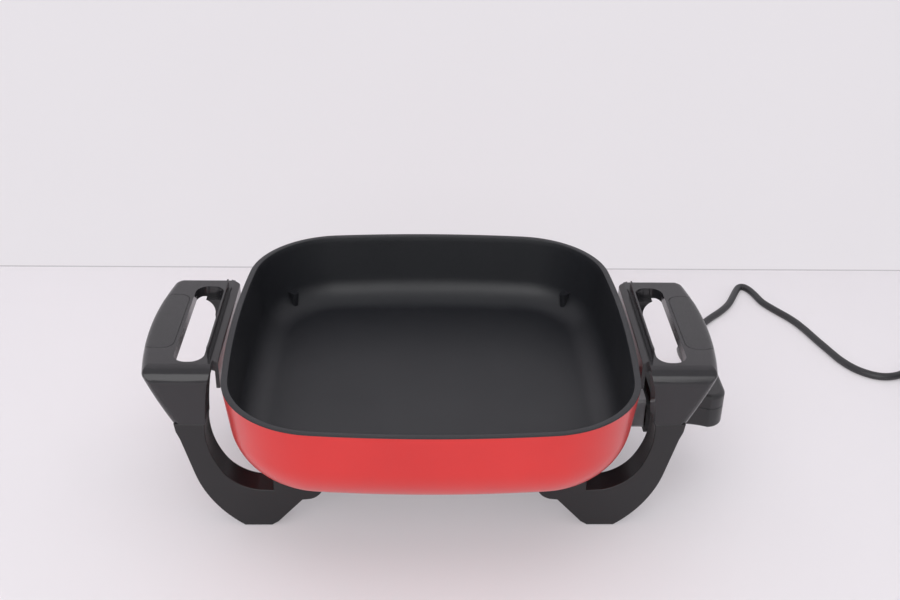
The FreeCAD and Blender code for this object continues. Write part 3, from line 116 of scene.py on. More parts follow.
# %% [markdown]
# ## Writing materials as code
#
# A material is a tree of nodes joined by links. Writing every node and link out takes ten
# lines for a simple finish, so `Graph` shortens it: each call adds one node, joins its
# inputs and gives back its output. Everything reads Object coordinates, in metres, so that
# a grain keeps its size on every piece.

# %% Node trees in a few readable lines
BAND = (0.3, 0.7)    # most values of a noise texture lie between these
MIX_A, MIX_B, MIX_OUT = 6, 7, 2    # the colour sockets of a Mix node
SHADER_INPUTS = {
    "base": "Base Color",
    "rough": "Roughness",
    "metal": "Metallic",
    "coat": "Coat Weight",
    "coat_rough": "Coat Roughness",
    "specular": "Specular IOR Level",
    "glass": "Transmission Weight",
    "glow": "Emission Strength",
    "glow_colour": "Emission Color",
    "ior": "IOR",
}


class Graph:
    """A material's node tree with one Principled shader."""

    def __init__(self, name):
        self.material = bpy.data.materials.new(name)
        self.material.use_nodes = True
        self.tree = self.material.node_tree
        self.shader = self.tree.nodes["Principled BSDF"]
        self.coords = self.tree.nodes.new("ShaderNodeTexCoord").outputs["Object"]

    def put(self, socket, value):
        """Join an output to a socket, or write a plain value into it."""
        if isinstance(value, bpy.types.NodeSocket):
            self.tree.links.new(value, socket)
        elif isinstance(value, (tuple, list)) and len(value) == 3 and socket.type == "RGBA":
            socket.default_value = (*value, 1)
        else:
            socket.default_value = value

    def node(self, kind, inputs=None, **settings):
        """Add a node and give back its first output."""
        made = self.tree.nodes.new(kind)
        for key, value in settings.items():
            setattr(made, key, value)
        for key, value in (inputs or {}).items():
            self.put(made.inputs[key], value)
        return made.outputs[0]

    def noise(self, scale, detail=2.0, rough=0.5, stretch=None):
        """Noise with so many waves a metre, drawn out along an axis by a stretch."""
        vector = self.coords
        if stretch:
            vector = self.node("ShaderNodeMapping", {"Vector": vector, "Scale": stretch})
        return self.node("ShaderNodeTexNoise", {
            "Vector": vector, "Scale": scale, "Detail": detail, "Roughness": rough})

    def spread(self, value, low, high, to_low, to_high):
        """Map a value from one range to another."""
        return self.node("ShaderNodeMapRange", {
            "Value": value, "From Min": low, "From Max": high, "To Min": to_low, "To Max": to_high})

    def between(self, noise, to_low, to_high):
        """Spread the common values of a noise between two ends."""
        return self.spread(noise, *BAND, to_low, to_high)

    def combine(self, a, b, operation="ADD"):
        """Work out one value from two."""
        return self.node("ShaderNodeMath", {0: a, 1: b}, operation=operation)

    def mix(self, share, a, b):
        """Blend two colours."""
        made = self.tree.nodes.new("ShaderNodeMix")
        made.data_type = "RGBA"
        self.put(made.inputs["Factor"], share)
        self.put(made.inputs[MIX_A], a)
        self.put(made.inputs[MIX_B], b)
        return made.outputs[MIX_OUT]

    def bump(self, height, strength, distance):
        """Let a height bend the shader's normal."""
        normal = self.node("ShaderNodeBump", {
            "Height": height, "Strength": strength, "Distance": distance})
        self.put(self.shader.inputs["Normal"], normal)

    def finish(self, **inputs):
        """Fill the shader's inputs and give back the material."""
        for key, value in inputs.items():
            self.put(self.shader.inputs[SHADER_INPUTS[key]], value)
        return self.material


def scaled(tone, factor):
    """A colour made darker or lighter."""
    return [min(1, v * factor) for v in tone]


print("a finish can set:", ", ".join(SHADER_INPUTS))

# %% [markdown]
# ## Red enamel
#
# The pan's outside is enamelled: a clear, slightly uneven gloss over an even red. A flat
# colour would look like paper, so two sizes of noise give the faint orange peel, and a broad
# one shifts the red and the gloss a little over the wall.


# %% Red enamel
def enamel():
    g = Graph("red_enamel")
    broad = g.noise(9, 3)
    colour = g.mix(g.between(broad, 0, 1), (0.60, 0.010, 0.009), (0.68, 0.016, 0.014))
    peel = g.combine(g.noise(900, 2), g.combine(g.noise(220, 2), 0.6, "MULTIPLY"))
    g.bump(peel, 0.05, 0.0006)
    return g.finish(base=colour, rough=g.between(broad, 0.30, 0.37), coat=0.3, coat_rough=0.14)


RED = enamel()
print(RED.name)

# %% [markdown]
# ## Dark coating
#
# The inside has a sprayed coating, nearly black with a fine grain that catches the light as
# a soft sheen. The grain is one fine noise that serves both the colour and the bump, so
# that its grains are paler where they stand up.


# %% Dark coating
def coating():
    g = Graph("pan_coating")
    grain = g.noise(2600, 2, 0.6)
    broad = g.noise(14, 3)
    colour = g.mix(g.spread(grain, 0.35, 0.7, 0, 1), (0.0068, 0.0074, 0.0092), (0.021, 0.0218, 0.0265))
    g.bump(grain, 0.35, 0.0004)
    return g.finish(base=colour, rough=g.between(broad, 0.36, 0.44), specular=0.5)


COATING = coating()
print(COATING.name)

# %% [markdown]
# ## Moulded plastic
#
# Grips, stands and heat control are black mouldings. The grips are glossy with the long,
# faint waves of plastic that flowed into its mould; the others carry the fine texture of an
# etched mould. Two functions cover all of them, and the tone and roughness set them apart.


# %% Glossy and textured mouldings
def gloss_moulding(name, tone, rough):
    g = Graph(name)
    broad = g.noise(16, 4)
    flow = g.noise(60, 3, 0.5, (1, 0.2, 1))
    colour = g.mix(broad, scaled(tone, 0.85), scaled(tone, 1.15))
    g.bump(flow, 0.06, 0.0008)
    return g.finish(base=colour, rough=g.between(broad, rough - 0.03, rough + 0.04), specular=0.5)


def matt_moulding(name, tone, rough, grain_scale=1500):
    g = Graph(name)
    grain = g.noise(grain_scale, 2, 0.55)
    colour = g.mix(g.noise(20, 4), scaled(tone, 0.85), scaled(tone, 1.15))
    g.bump(grain, 0.22, 0.0003)
    return g.finish(base=colour, rough=g.between(grain, rough - 0.05, rough + 0.06))


GRIP = gloss_moulding("handle_plastic", (0.021, 0.020, 0.0225), 0.16)
INLAY = matt_moulding("inlay_plastic", (0.021, 0.0205, 0.0225), 0.30)
STAND = matt_moulding("leg_plastic", (0.013, 0.0125, 0.014), 0.34, 900)
CASE = matt_moulding("control_plastic", (0.022, 0.022, 0.024), 0.33, 1200)
FLANGE = matt_moulding("flange_plastic", (0.014, 0.014, 0.015), 0.5, 1200)
DIAL = gloss_moulding("dial_plastic", (0.018, 0.018, 0.019), 0.24)
print("mouldings:", ", ".join(m.name for m in (GRIP, INLAY, STAND, CASE, FLANGE, DIAL)))

# %% [markdown]
# ## Rubber
#
# The cord's jacket, its sleeve and the feet are soft rubber: dull, and uneven in tone over a
# few centimetres.


# %% Rubber
def rubber(name, tone, rough):
    g = Graph(name)
    grain = g.noise(1100, 3, 0.6)
    colour = g.mix(g.noise(30, 3), scaled(tone, 0.8), scaled(tone, 1.2))
    g.bump(grain, 0.2, 0.0003)
    return g.finish(base=colour, rough=g.between(grain, rough - 0.05, rough + 0.06))


FOOT = rubber("foot_rubber", (0.018, 0.018, 0.018), 0.75)
CORD = rubber("cord_rubber", (0.027, 0.027, 0.030), 0.40)
print("rubbers:", FOOT.name, CORD.name)

# %% [markdown]
# ## Metals
#
# Screws, pins, contacts and the probe are bare metal, so the tone sits in the base colour of
# a fully metallic shader. A stretched noise gives drawn and brushed pieces their direction.
# The pan's underside is rough cast metal, and the element's sheath has straw-coloured
# patches where heat has marked the steel.


# %% Plain and brushed metals
def metal(name, tone, rough, brushed=(1, 1, 1)):
    g = Graph(name)
    grain = g.noise(300, 3, 0.6, brushed)
    g.bump(grain, 0.08, 0.0002)
    colour = g.mix(grain, scaled(tone, 0.85), scaled(tone, 1.1))
    return g.finish(base=colour, metal=1.0, rough=g.between(grain, rough - 0.05, rough + 0.08))


STEEL = metal("screw_steel", (0.5, 0.5, 0.51), 0.33)
PROBE = metal("probe_steel", (0.56, 0.56, 0.56), 0.28, (0.1, 1, 1))
NICKEL = metal("pin_nickel", (0.70, 0.69, 0.66), 0.22)
BRASS = metal("contact_brass", (0.72, 0.52, 0.22), 0.3)
GUARD = metal("guard_metal", (0.34, 0.34, 0.35), 0.4, (1, 0.15, 1))
print("metals:", ", ".join(m.name for m in (STEEL, PROBE, NICKEL, BRASS, GUARD)))


# %% Cast underside and heated sheath
def cast_metal():
    g = Graph("cast_underside")
    grain = g.noise(420, 5, 0.65)
    g.bump(grain, 0.4, 0.0006)
    colour = g.mix(grain, (0.30, 0.30, 0.31), (0.46, 0.46, 0.47))
    return g.finish(base=colour, metal=0.9, rough=g.between(grain, 0.4, 0.6))


def heated_steel():
    g = Graph("element_steel")
    patches = g.noise(45, 4)
    marked = g.mix(g.spread(patches, 0.4, 0.7, 0, 1), (0.26, 0.25, 0.24), (0.24, 0.17, 0.11))
    g.bump(g.noise(900, 2), 0.1, 0.0002)
    return g.finish(base=marked, metal=1.0, rough=g.between(patches, 0.38, 0.52))


CAST = cast_metal()
ELEMENT = heated_steel()
print(CAST.name, ELEMENT.name)

# %% [markdown]
# ## Ceramic and the lamp
#
# The beads round the terminals and the thermostat's block are unglazed ceramic, chalky and
# off-white. The signal lamp has a small glass bulb under an amber lens; both let light
# through, with a slight swirl so that they don't look like perfect glass.


# %% Ceramic and lamp
def ceramic():
    g = Graph("ceramic")
    grain = g.noise(700, 3)
    g.bump(grain, 0.15, 0.0003)
    colour = g.mix(grain, (0.74, 0.71, 0.64), (0.86, 0.83, 0.77))
    return g.finish(base=colour, rough=g.between(grain, 0.5, 0.65))


def clear_lamp(name, tone):
    g = Graph(name)
    swirl = g.noise(120, 2)
    g.bump(swirl, 0.08, 0.0003)
    return g.finish(base=g.mix(swirl, scaled(tone, 0.9), tone), glass=0.7, rough=0.12, ior=1.49)


CERAMIC = ceramic()
AMBER = clear_lamp("lamp_amber", (0.8, 0.22, 0.03))
LAMP = clear_lamp("lamp_glass", (0.9, 0.85, 0.78))
print(CERAMIC.name, AMBER.name, LAMP.name)

# %% [markdown]
# ## Which finish each solid gets
#
# Both sides have the same grip and stand, so those entries are written once for each side.
# The pan's own finishes come later, with its skins.

# %% Finishes by solid
DRESSED = {
    "heating_element": ELEMENT,
    "terminal_pins": NICKEL,
    "terminal_beads": CERAMIC,
    "terminal_guard": GUARD,
    "guard_screws": STEEL,
    "control_lower_shell": CASE,
    "control_upper_shell": CASE,
    "control_flange": FLANGE,
    "control_nose": FLANGE,
    "probe_rod": PROBE,
    "contact_sockets": BRASS,
    "thermostat_block": CERAMIC,
    "contact_strips": BRASS,
    "lamp_lens": AMBER,
    "lamp_bulb": LAMP,
    "case_screws": STEEL,
    "dial_knob": DIAL,
    "dial_shaft": FLANGE,
    "strain_relief": CORD,
    "cord_tie": CORD,
    "plug_body": CORD,
    "plug_pins": BRASS,
}
SIDES = ("right_", "left_")
for hand in SIDES:
    DRESSED[hand + "handle"] = GRIP
    DRESSED[hand + "grip_inlay"] = INLAY
    DRESSED[hand + "finger_guard"] = GRIP
    DRESSED[hand + "handle_screws"] = STEEL
    DRESSED[hand + "leg_frame"] = STAND
    DRESSED[hand + "leg_screws"] = STEEL
    DRESSED[hand + "foot_pads"] = FOOT
print(len(DRESSED), "solids have a finish")

# %% [markdown]
# ## Smooth where round, sharp where cut
#
# A solid arrives as loose flat triangles. They are welded first. Then a small Geometry Nodes
# tree shades every face smooth and keeps the edges hard whose faces meet at more than a
# given angle. Weighted normals, last, let the large flat faces rule over the slim ones of
# the fillets, so that flats stay flat in a reflection.


# %% Shading by angle
def smooth_group():
    """Geometry nodes: faces are smooth, and edges sharper than Angle stay hard."""
    tree = bpy.data.node_groups.new("smooth_by_angle", "GeometryNodeTree")
    tree.interface.new_socket("Geometry", in_out="INPUT", socket_type="NodeSocketGeometry")
    tree.interface.new_socket("Angle", in_out="INPUT", socket_type="NodeSocketFloat")
    tree.interface.new_socket("Geometry", in_out="OUTPUT", socket_type="NodeSocketGeometry")
    enter = tree.nodes.new("NodeGroupInput")
    leave = tree.nodes.new("NodeGroupOutput")
    angle = tree.nodes.new("GeometryNodeInputMeshEdgeAngle")
    soft = tree.nodes.new("FunctionNodeCompare")
    soft.operation = "LESS_THAN"
    faces = tree.nodes.new("GeometryNodeSetShadeSmooth")
    edges = tree.nodes.new("GeometryNodeSetShadeSmooth")
    edges.domain = "EDGE"
    tree.links.new(enter.outputs["Geometry"], faces.inputs["Geometry"])
    tree.links.new(faces.outputs["Geometry"], edges.inputs["Geometry"])
    tree.links.new(angle.outputs["Unsigned Angle"], soft.inputs[0])
    tree.links.new(enter.outputs["Angle"], soft.inputs[1])
    tree.links.new(soft.outputs[0], edges.inputs["Shade Smooth"])
    tree.links.new(edges.outputs["Geometry"], leave.inputs["Geometry"])
    return tree


SMOOTH = smooth_group()
print(SMOOTH.name, "has", len(SMOOTH.nodes), "nodes")

# %% Dressing the solids
SHARP, SHARP_INLAY = 32, 50    # degrees
WELD = 0.00001    # metres
FLAT_WEIGHT = 80


def soften(piece, angle=SHARP):
    """Join the loose triangles and shade the shape smooth except across sharp edges."""
    weld = piece.modifiers.new("weld", "WELD")
    weld.merge_threshold = WELD
    smooth = piece.modifiers.new("smooth", "NODES")
    smooth.node_group = SMOOTH
    smooth[SMOOTH.interface.items_tree["Angle"].identifier] = math.radians(angle)
    even = piece.modifiers.new("even", "WEIGHTED_NORMAL")
    even.keep_sharp = True
    even.weight = FLAT_WEIGHT


for node, material in DRESSED.items():
    solid = NODES[node]
    if not solid.material_slots:
        solid.data.materials.append(material)
    for slot in solid.material_slots:
        slot.material = material
    soften(solid)
print("dressed", len(DRESSED), "solids")

# %% [markdown]
# ## Pieces that take a solid's place
#
# Some shapes are redrawn here. Each new mesh keeps its place in its own points, so that its
# object stays at the origin like the solids, and it rides on the skillet's body. A piece that
# keeps most of its solid starts as a copy whose loose triangles are joined.


# %% New pieces
def link(obj):
    """Put an object into the scene."""
    bpy.context.scene.collection.objects.link(obj)
    return obj


def piece_of(name, mesh, material):
    """An object at the origin with one material that rides on the skillet."""
    mesh.materials.clear()
    mesh.materials.append(material)
    piece = link(bpy.data.objects.new(name, mesh))
    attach(piece, "skillet")
    return piece


def copied_piece(name, copy, material, angle=SHARP):
    """The piece that a reworked copy of a solid becomes."""
    mesh = bpy.data.meshes.new(name)
    copy.to_mesh(mesh)
    copy.free()
    piece = piece_of(name, mesh, material)
    soften(piece, angle)
    print(name, len(mesh.polygons), "faces")
    return piece


def welded(node):
    """A copy of a solid's mesh with its loose triangles joined."""
    copy = bmesh.new()
    copy.from_mesh(NODES[node].data)
    bmesh.ops.remove_doubles(copy, verts=copy.verts, dist=MERGE)
    return copy


# %% [markdown]
# ## The pan's walls
#
# The pan is cast, so its walls flow without an edge from bowed sides into round corners. The
# solid's triangles show there as facets in the gloss. The plan is a square with bowed sides
# and round corners, and a skin can follow that rule exactly: `outline(inset)` walks round it
# at any distance in from the rim, and the skin is that outline swept down a list of
# (inset, height) pairs, which are a drafted wall, an arc at its foot, and the flat.

# %% Sizes of the pan
RIM_HALF, CORNER_R, BOW_R = 150.0, 73.0, 890.0
RIM_Z, RIM_WIDTH, RIM_EDGE = 140.0, 4.6, 0.6
FLOOR_Z, BASE_Z, UNDER_Z = 82.0, 68.5, 76.5
OUTER_DRAFT, INNER_DRAFT = math.radians(6.8), math.radians(5.7)
OUTER_EDGE_R, INNER_EDGE_R = 44.0, 22.0
FOOT_RING_W = 8.0

BOW_AT = RIM_HALF - BOW_R
reach = BOW_R - CORNER_R
CORNER_AT = (BOW_AT + math.sqrt(2 * reach * reach - BOW_AT * BOW_AT)) / 2
KNEE = math.atan2(CORNER_AT, CORNER_AT - BOW_AT)    # where a side's bow meets the corner's arc
print(f"corner arcs centred {CORNER_AT:.2f} mm out, bows turn {math.degrees(KNEE):.2f} degrees")

# %% The plan of the pan
SIDE_STEPS, CORNER_STEPS = 26, 22


def outline(inset):
    """Points round the pan, anticlockwise from the middle of the +X side."""
    bow = BOW_R - inset
    corner = CORNER_R - inset
    eighth = []
    for step in range(SIDE_STEPS):
        turn = KNEE * step / SIDE_STEPS
        eighth.append((BOW_AT + bow * math.cos(turn), bow * math.sin(turn)))
    for step in range(CORNER_STEPS + 1):
        turn = KNEE + (math.pi / 4 - KNEE) * step / CORNER_STEPS
        eighth.append((CORNER_AT + corner * math.cos(turn), CORNER_AT + corner * math.sin(turn)))
    quarter = eighth + [(y, x) for x, y in reversed(eighth[1:-1])]
    points = []
    for q in range(4):
        c, s = round(math.cos(q * math.pi / 2)), round(math.sin(q * math.pi / 2))
        points += [(x * c - y * s, x * s + y * c) for x, y in quarter]
    return points


def inset_of(x, y):
    """How far a point of the plan is in from the rim's outline."""
    x, y = max(abs(x), abs(y)), min(abs(x), abs(y))
    if math.atan2(y, x - BOW_AT) <= KNEE:
        return BOW_R - math.hypot(x - BOW_AT, y)
    return CORNER_R - math.hypot(x - CORNER_AT, y - CORNER_AT)


print("the outline has", len(outline(0)), "points")


# %% Profile of the enamel wall
def foot_arc(inset, draft, radius, low, steps):
    """From the wall's end to the flat, as (inset, z) pairs."""
    centre_z = low + radius
    wall_z = centre_z - radius * math.sin(draft)
    wall_inset = inset + (RIM_Z - wall_z) * math.tan(draft)
    centre = wall_inset + radius * math.cos(draft)
    pairs = []
    for step in range(steps + 1):
        turn = draft + (math.pi / 2 - draft) * step / steps
        pairs.append((centre - radius * math.cos(turn), centre_z - radius * math.sin(turn)))
    return pairs


def straight(a, b, steps):
    """Evenly spaced pairs from a towards b, without b."""
    return [(a[0] + (b[0] - a[0]) * i / steps, a[1] + (b[1] - a[1]) * i / steps) for i in range(steps)]


WALL_ROWS, WALL_FOOT_ROWS = 10, 22
outer_foot = foot_arc(0, OUTER_DRAFT, OUTER_EDGE_R, BASE_Z, WALL_FOOT_ROWS)
outer_lip = (RIM_EDGE * math.tan(OUTER_DRAFT), RIM_Z - RIM_EDGE)
ring = outer_foot[-1][0] + FOOT_RING_W
wall_face = straight(outer_lip, outer_foot[0], WALL_ROWS) + outer_foot + [(ring, BASE_Z)]
outer_profile = wall_face + [(ring, UNDER_Z)]
print("the wall's profile has", len(outer_profile), "points")

# %% Profile of the lining
RIM_STEPS = 6
RIM_NARROW = 0.93    # the rim's round is a little narrower than high, because the wall leans
rim_round = []
for step in range(1, RIM_STEPS + 1):
    turn = math.pi / 2 * step / RIM_STEPS
    inset = RIM_EDGE - RIM_EDGE * math.cos(turn) * RIM_NARROW
    rim_round.append((inset, RIM_Z - RIM_EDGE * (1 - math.sin(turn))))

LINING_ROWS, LINING_FOOT_ROWS = 8, 16
FLOOR_RINGS = (3, 10, 22, 36)    # in from the foot's arc, so that the floor's shading stays even
BREAK_IN, BREAK_DOWN = 0.1, 0.2    # the small break of the rim's inner edge
inner_foot = foot_arc(RIM_WIDTH, INNER_DRAFT, INNER_EDGE_R, FLOOR_Z, LINING_FOOT_ROWS)
inner_lip = (RIM_WIDTH + RIM_EDGE * math.tan(INNER_DRAFT), RIM_Z - RIM_EDGE)
lining_face = straight(inner_lip, inner_foot[0], LINING_ROWS) + inner_foot
lining_face += [(inner_foot[-1][0] + step, FLOOR_Z) for step in FLOOR_RINGS]
inner_profile = [outer_lip] + rim_round + [(RIM_WIDTH - RIM_EDGE, RIM_Z)]
inner_profile += [(RIM_WIDTH - BREAK_IN, RIM_Z - BREAK_DOWN)] + lining_face
print("the lining's profile has", len(inner_profile), "points")


# %% The two skins
def skin(profile, flip, close):
    """Sweep the outline down the profile; a fan to the middle closes the last ring."""
    verts, faces = [], []
    for inset, z in profile:
        verts += [at(x, y, z) for x, y in outline(inset)]
    count = len(outline(0))
    for row in range(len(profile) - 1):
        for i in range(count):
            a, b = row * count + i, row * count + (i + 1) % count
            quad = (a, b, b + count, a + count)
            faces.append(quad if flip else quad[::-1])
    if close:
        middle = len(verts)
        verts.append(at(0, 0, profile[-1][1]))
        last = (len(profile) - 1) * count
        for i in range(count):
            tri = (last + i, last + (i + 1) % count, middle)
            faces.append(tri if flip else tri[::-1])
    return verts, faces


def skin_piece(name, profile, flip, close, material):
    mesh = bpy.data.meshes.new(name)
    verts, faces = skin(profile, flip, close)
    mesh.from_pydata([tuple(v) for v in verts], [], faces)
    mesh.validate()
    mesh.shade_smooth()
    piece = piece_of(name, mesh, material)
    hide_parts("pan_body")
    print(name, len(mesh.polygons), "faces")


skin_piece("pan_enamel_wall", outer_profile, False, False, RED)
skin_piece("pan_lining", inner_profile, True, True, COATING)

# %% [markdown]
# ## Underside and rack lugs
#
# Below, the pan has an element groove, ribs and a terminal boss, and inside there are four
# small lugs that a rack can rest on. These need no skin of their own: they are taken from a
# merged copy of the solid, without the faces that the two skins now cover. A face is covered
# when its points and its middle lie close to a skin's profile. A lug's root is sunk into the
# wall, so the faces of it that lie past the enamel are left out as well.

# %% What the skins cover
NEAR, NEAR_MIDDLE = 0.12, 0.4    # millimetres off a skin, at a face's points and at its middle
WALL_SLACK = 0.05
TINY = 1e-9    # keeps a division off zero


def off_profile(point, profile):
    """Distance from a point of the solid to a swept profile."""
    x, y, z = drawn(point)
    p = Vector((inset_of(x, y), z))
    best = math.inf
    for a, b in zip(profile, profile[1:]):
        a, b = Vector(a), Vector(b)
        along = b - a
        share = min(max((p - a).dot(along) / max(along.length_squared, TINY), 0), 1)
        best = min(best, (p - a - along * share).length)
    return best


def covered_faces(solid, profile):
    """The faces that lie on a swept profile all over."""
    near = {v: off_profile(v.co, profile) < NEAR for v in solid.verts}
    return [f for f in solid.faces if all(near[v] for v in f.verts)
            and off_profile(f.calc_center_median(), profile) < NEAR_MIDDLE]


def outside(point):
    """Whether a point of the solid lies out of the enamel wall's face."""
    x, y, z = drawn(point)
    for (upper, high), (lower, low) in zip(outer_profile, outer_profile[1:]):
        if low <= z <= high:
            share = (high - z) / max(high - low, TINY)
            return inset_of(x, y) < upper + (lower - upper) * share + WALL_SLACK
    return False


print("the lining's floor reaches in to", round(RIM_HALF - inner_profile[-1][0], 1), "mm from the middle")

# %% Underside and lugs
rest = welded("pan_body")
lined = [(0, RIM_Z - RIM_EDGE), (0, RIM_Z), (RIM_WIDTH, RIM_Z)] + lining_face + [(RIM_HALF, FLOOR_Z)]
gone = set(covered_faces(rest, wall_face)) | set(covered_faces(rest, lined))
bmesh.ops.delete(rest, geom=list(gone), context="FACES")

LUGS_FROM = (FLOOR_Z - 0.5) / 1000
lugs = rest.copy()
upper = [f for f in rest.faces if f.calc_center_median().z > LUGS_FROM]
bmesh.ops.delete(rest, geom=upper, context="FACES")
unseen = [f for f in lugs.faces
          if f.calc_center_median().z <= LUGS_FROM or outside(f.calc_center_median())]
bmesh.ops.delete(lugs, geom=unseen, context="FACES")
for name, part, material in (("pan_underside", rest, CAST), ("rack_lugs", lugs, COATING)):
    copied_piece(name, part, material)

# %% [markdown]
# ## Grips
#
# Each grip is one moulding that rolls over into its front leg with a full round, and has a
# flat lip towards the pan. The solid has the same outline with a sharper corner there. A new
# mesh would lose its slot, arch and sockets, so a welded copy of the solid is cut across a
# few times at the corner, and its points are moved onto the round and the lip.

# %% Sizes of the grip
HANDLE_TOP, HANDLE_HALF, HANDLE_REACH, GRIP_BOW = 138.5, 70.0, 213.5, 7.5
ROLL_R = 12.0
ROLL_Y, ROLL_Z = HANDLE_HALF - ROLL_R, HANDLE_TOP - ROLL_R    # the round's centre
ROLL_CUTS = (0, 7.5, 15.0, 22.5)    # degrees
LIP_X, LIP_EDGE_X = 152.8, 158.9
LIP_Z, LIP_FLAT_Z = 130.0, 135.0    # the lip's low side in the solid and in the moulding
LIP_NEAR, LIP_ON = 0.01, 0.04    # how far a point may be off the slope: as a share, and in height
CUT_NEAR = 1e-7
print(f"front corner round of {ROLL_R} mm, lip raised by {LIP_FLAT_Z - LIP_Z} mm")


# %% Roll and lip
def on_roll(y, z):
    """Where a point of the sharp front corner lies on the fuller round."""
    out = Vector((-y - ROLL_Y, z - ROLL_Z))
    if min(out) > 0 and out.length > ROLL_R:
        out *= ROLL_R / out.length
    return -ROLL_Y - out.x, ROLL_Z + out.y


def on_lip(x, z):
    """The height of a point of the lip's slope when that slope is turned flatter."""
    share = (abs(x) - LIP_X) / (LIP_EDGE_X - LIP_X)
    slope = LIP_Z + share * (HANDLE_TOP - LIP_Z)
    if -LIP_NEAR < share < 1 + LIP_NEAR and abs(z - slope) < LIP_ON:
        return LIP_FLAT_Z + share * (HANDLE_TOP - LIP_FLAT_Z)
    return z


def cut_across(copy, point, way):
    """Add a row of points where a plane crosses the mesh."""
    geometry = copy.verts[:] + copy.edges[:] + copy.faces[:]
    bmesh.ops.bisect_plane(copy, geom=geometry, plane_co=point, plane_no=way, dist=CUT_NEAR)


def stand_in(name, copy, node, angle=SHARP):
    """Make a reworked copy the piece that stands for its solid."""
    piece = copied_piece(name, copy, DRESSED[node], angle)
    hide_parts(node)


# %% The two grips
for hand in SIDES:
    copy = welded(hand + "handle")
    for turn in ROLL_CUTS:
        along = ROLL_R * math.tan(math.radians(turn))
        cut_across(copy, at(0, -ROLL_Y - along, 0), (0, 1, 0))
        cut_across(copy, at(0, 0, ROLL_Z + along), (0, 0, 1))
    for v in copy.verts:
        x, y, z = drawn(v.co)
        if min(-y - ROLL_Y, z - ROLL_Z) > 0:
            y, z = on_roll(y, z)
        v.co = at(x, y, on_lip(x, z))
    stand_in(hand + "handle_moulding", copy, hand + "handle")

# %% [markdown]
# ## Inlays
#
# A softer plate is let into each grip's top, and its outer side runs down the grip's rounded
# edge. A flat plate would stick out there. So the plate's outline is read from the solid,
# and rings inside that outline follow the height of the grip's surface, a hair proud of it.

# %% Surface of the grip
RIM_ROUND = 5.5
HALF_CORNER = math.radians(35.4)    # half the angle between the grip's top and its leaning outer wall
ROUND_SPAN = RIM_ROUND / math.tan(HALF_CORNER)
BOW_RADIUS = (HANDLE_HALF ** 2 + GRIP_BOW ** 2) / (2 * GRIP_BOW)


def edge_drop(x, y):
    """How far the grip's surface lies under its flat top at a point of the plan."""
    inside = BOW_RADIUS - math.hypot(abs(x) - (HANDLE_REACH - BOW_RADIUS), y)
    short = min(max(0.0, ROUND_SPAN - inside), RIM_ROUND)
    return RIM_ROUND - math.sqrt(max(0.0, RIM_ROUND ** 2 - short ** 2))


print(f"the grip's edge drops {edge_drop(HANDLE_REACH - 4, 0):.2f} mm at 4 mm in")

# %% Outline and rings of an inlay
INLAY_PROUD, INLAY_ROUND, INLAY_SINK = 0.10, 0.4, 0.6
ROUND_TURNS = (90.0, 67.5, 45.0, 22.5, 0.0)    # degrees round the plate's edge
TOP_RINGS = (1.0, 1.6, 2.3, 3.2, 5.0, 7.4)


def inlay_loop(node):
    """The plate's outline in plan, sorted round its middle, and the lowest height."""
    source = welded(node)
    low = min(v.co.z for v in source.verts)
    loop = [Vector((v.co.x * 1000 - PAN_X, v.co.y * 1000)) for v in source.verts if v.co.z < low + MERGE]
    source.free()
    middle = sum(loop, Vector((0, 0))) / len(loop)
    loop.sort(key=lambda p: math.atan2(p.y - middle.y, p.x - middle.x))
    return loop, low * 1000


def inward_ways(loop):
    """The direction into the plate at each point of its outline."""
    ways = []
    for i in range(len(loop)):
        ahead = loop[(i + 1) % len(loop)] - loop[i]
        way = (loop[i] - loop[i - 1]).normalized() + ahead.normalized()
        ways.append(Vector((-way.y, way.x)).normalized())
    return ways


def ring_points(loop, ways, inset, down):
    """A ring so far inside the outline and so far under the grip's surface."""
    points = [p + way * inset for p, way in zip(loop, ways)]
    return [(q.x, q.y, HANDLE_TOP + INLAY_PROUD - edge_drop(q.x, q.y) - down) for q in points]


# %% The two inlays
def inlay_copy(node):
    """A plate of rings, from its flat bottom over its rounded edge to its middle."""
    loop, low = inlay_loop(node)
    ways = inward_ways(loop)
    rings = [[(x, y, min(low, z)) for x, y, z in ring_points(loop, ways, 0.0, INLAY_SINK)]]
    for turn in ROUND_TURNS:
        inset = INLAY_ROUND * (1 - math.sin(math.radians(turn)))
        down = INLAY_ROUND * (1 - math.cos(math.radians(turn)))
        rings.append(ring_points(loop, ways, inset, down))
    rings += [ring_points(loop, ways, inset, 0.0) for inset in TOP_RINGS]
    copy = bmesh.new()
    rows = [[copy.verts.new(at(*point)) for point in ring] for ring in rings]
    for below, over in zip(rows, rows[1:]):
        for i in range(len(loop)):
            j = (i + 1) % len(loop)
            copy.faces.new((below[i], below[j], over[j], over[i]))
    copy.faces.new(rows[-1])
    copy.faces.new(rows[0][::-1])
    return copy


for hand in SIDES:
    node = hand + "grip_inlay"
    stand_in(hand + "inlay_plate", inlay_copy(node), node, SHARP_INLAY)

# %% [markdown]
# ## Finger guards
#
# The thin blade beside each slot keeps fingers off the hot pan. On the real grip it runs a
# little further back, to a sharp tip that shows over the grip's far edge, so the points of
# the blade's rear end are moved back.

# %% Finger guards
TIP_FROM, TIP_REACH = 45.0, 3.0

for hand in SIDES:
    copy = welded(hand + "finger_guard")
    for v in copy.verts:
        if v.co.y * 1000 > TIP_FROM:
            v.co.y += TIP_REACH / 1000
    stand_in(hand + "guard_blade", copy, hand + "finger_guard")

# %% [markdown]
# ## Cord
#
# The cord is a round rubber jacket that lies under its own weight. One NURBS curve with a
# round bevel bends like that without kinks. It follows the route: out of the strain relief,
# down to the table behind the grip, back and round, then off to the coil in which the unused
# length is put away beside the skillet.

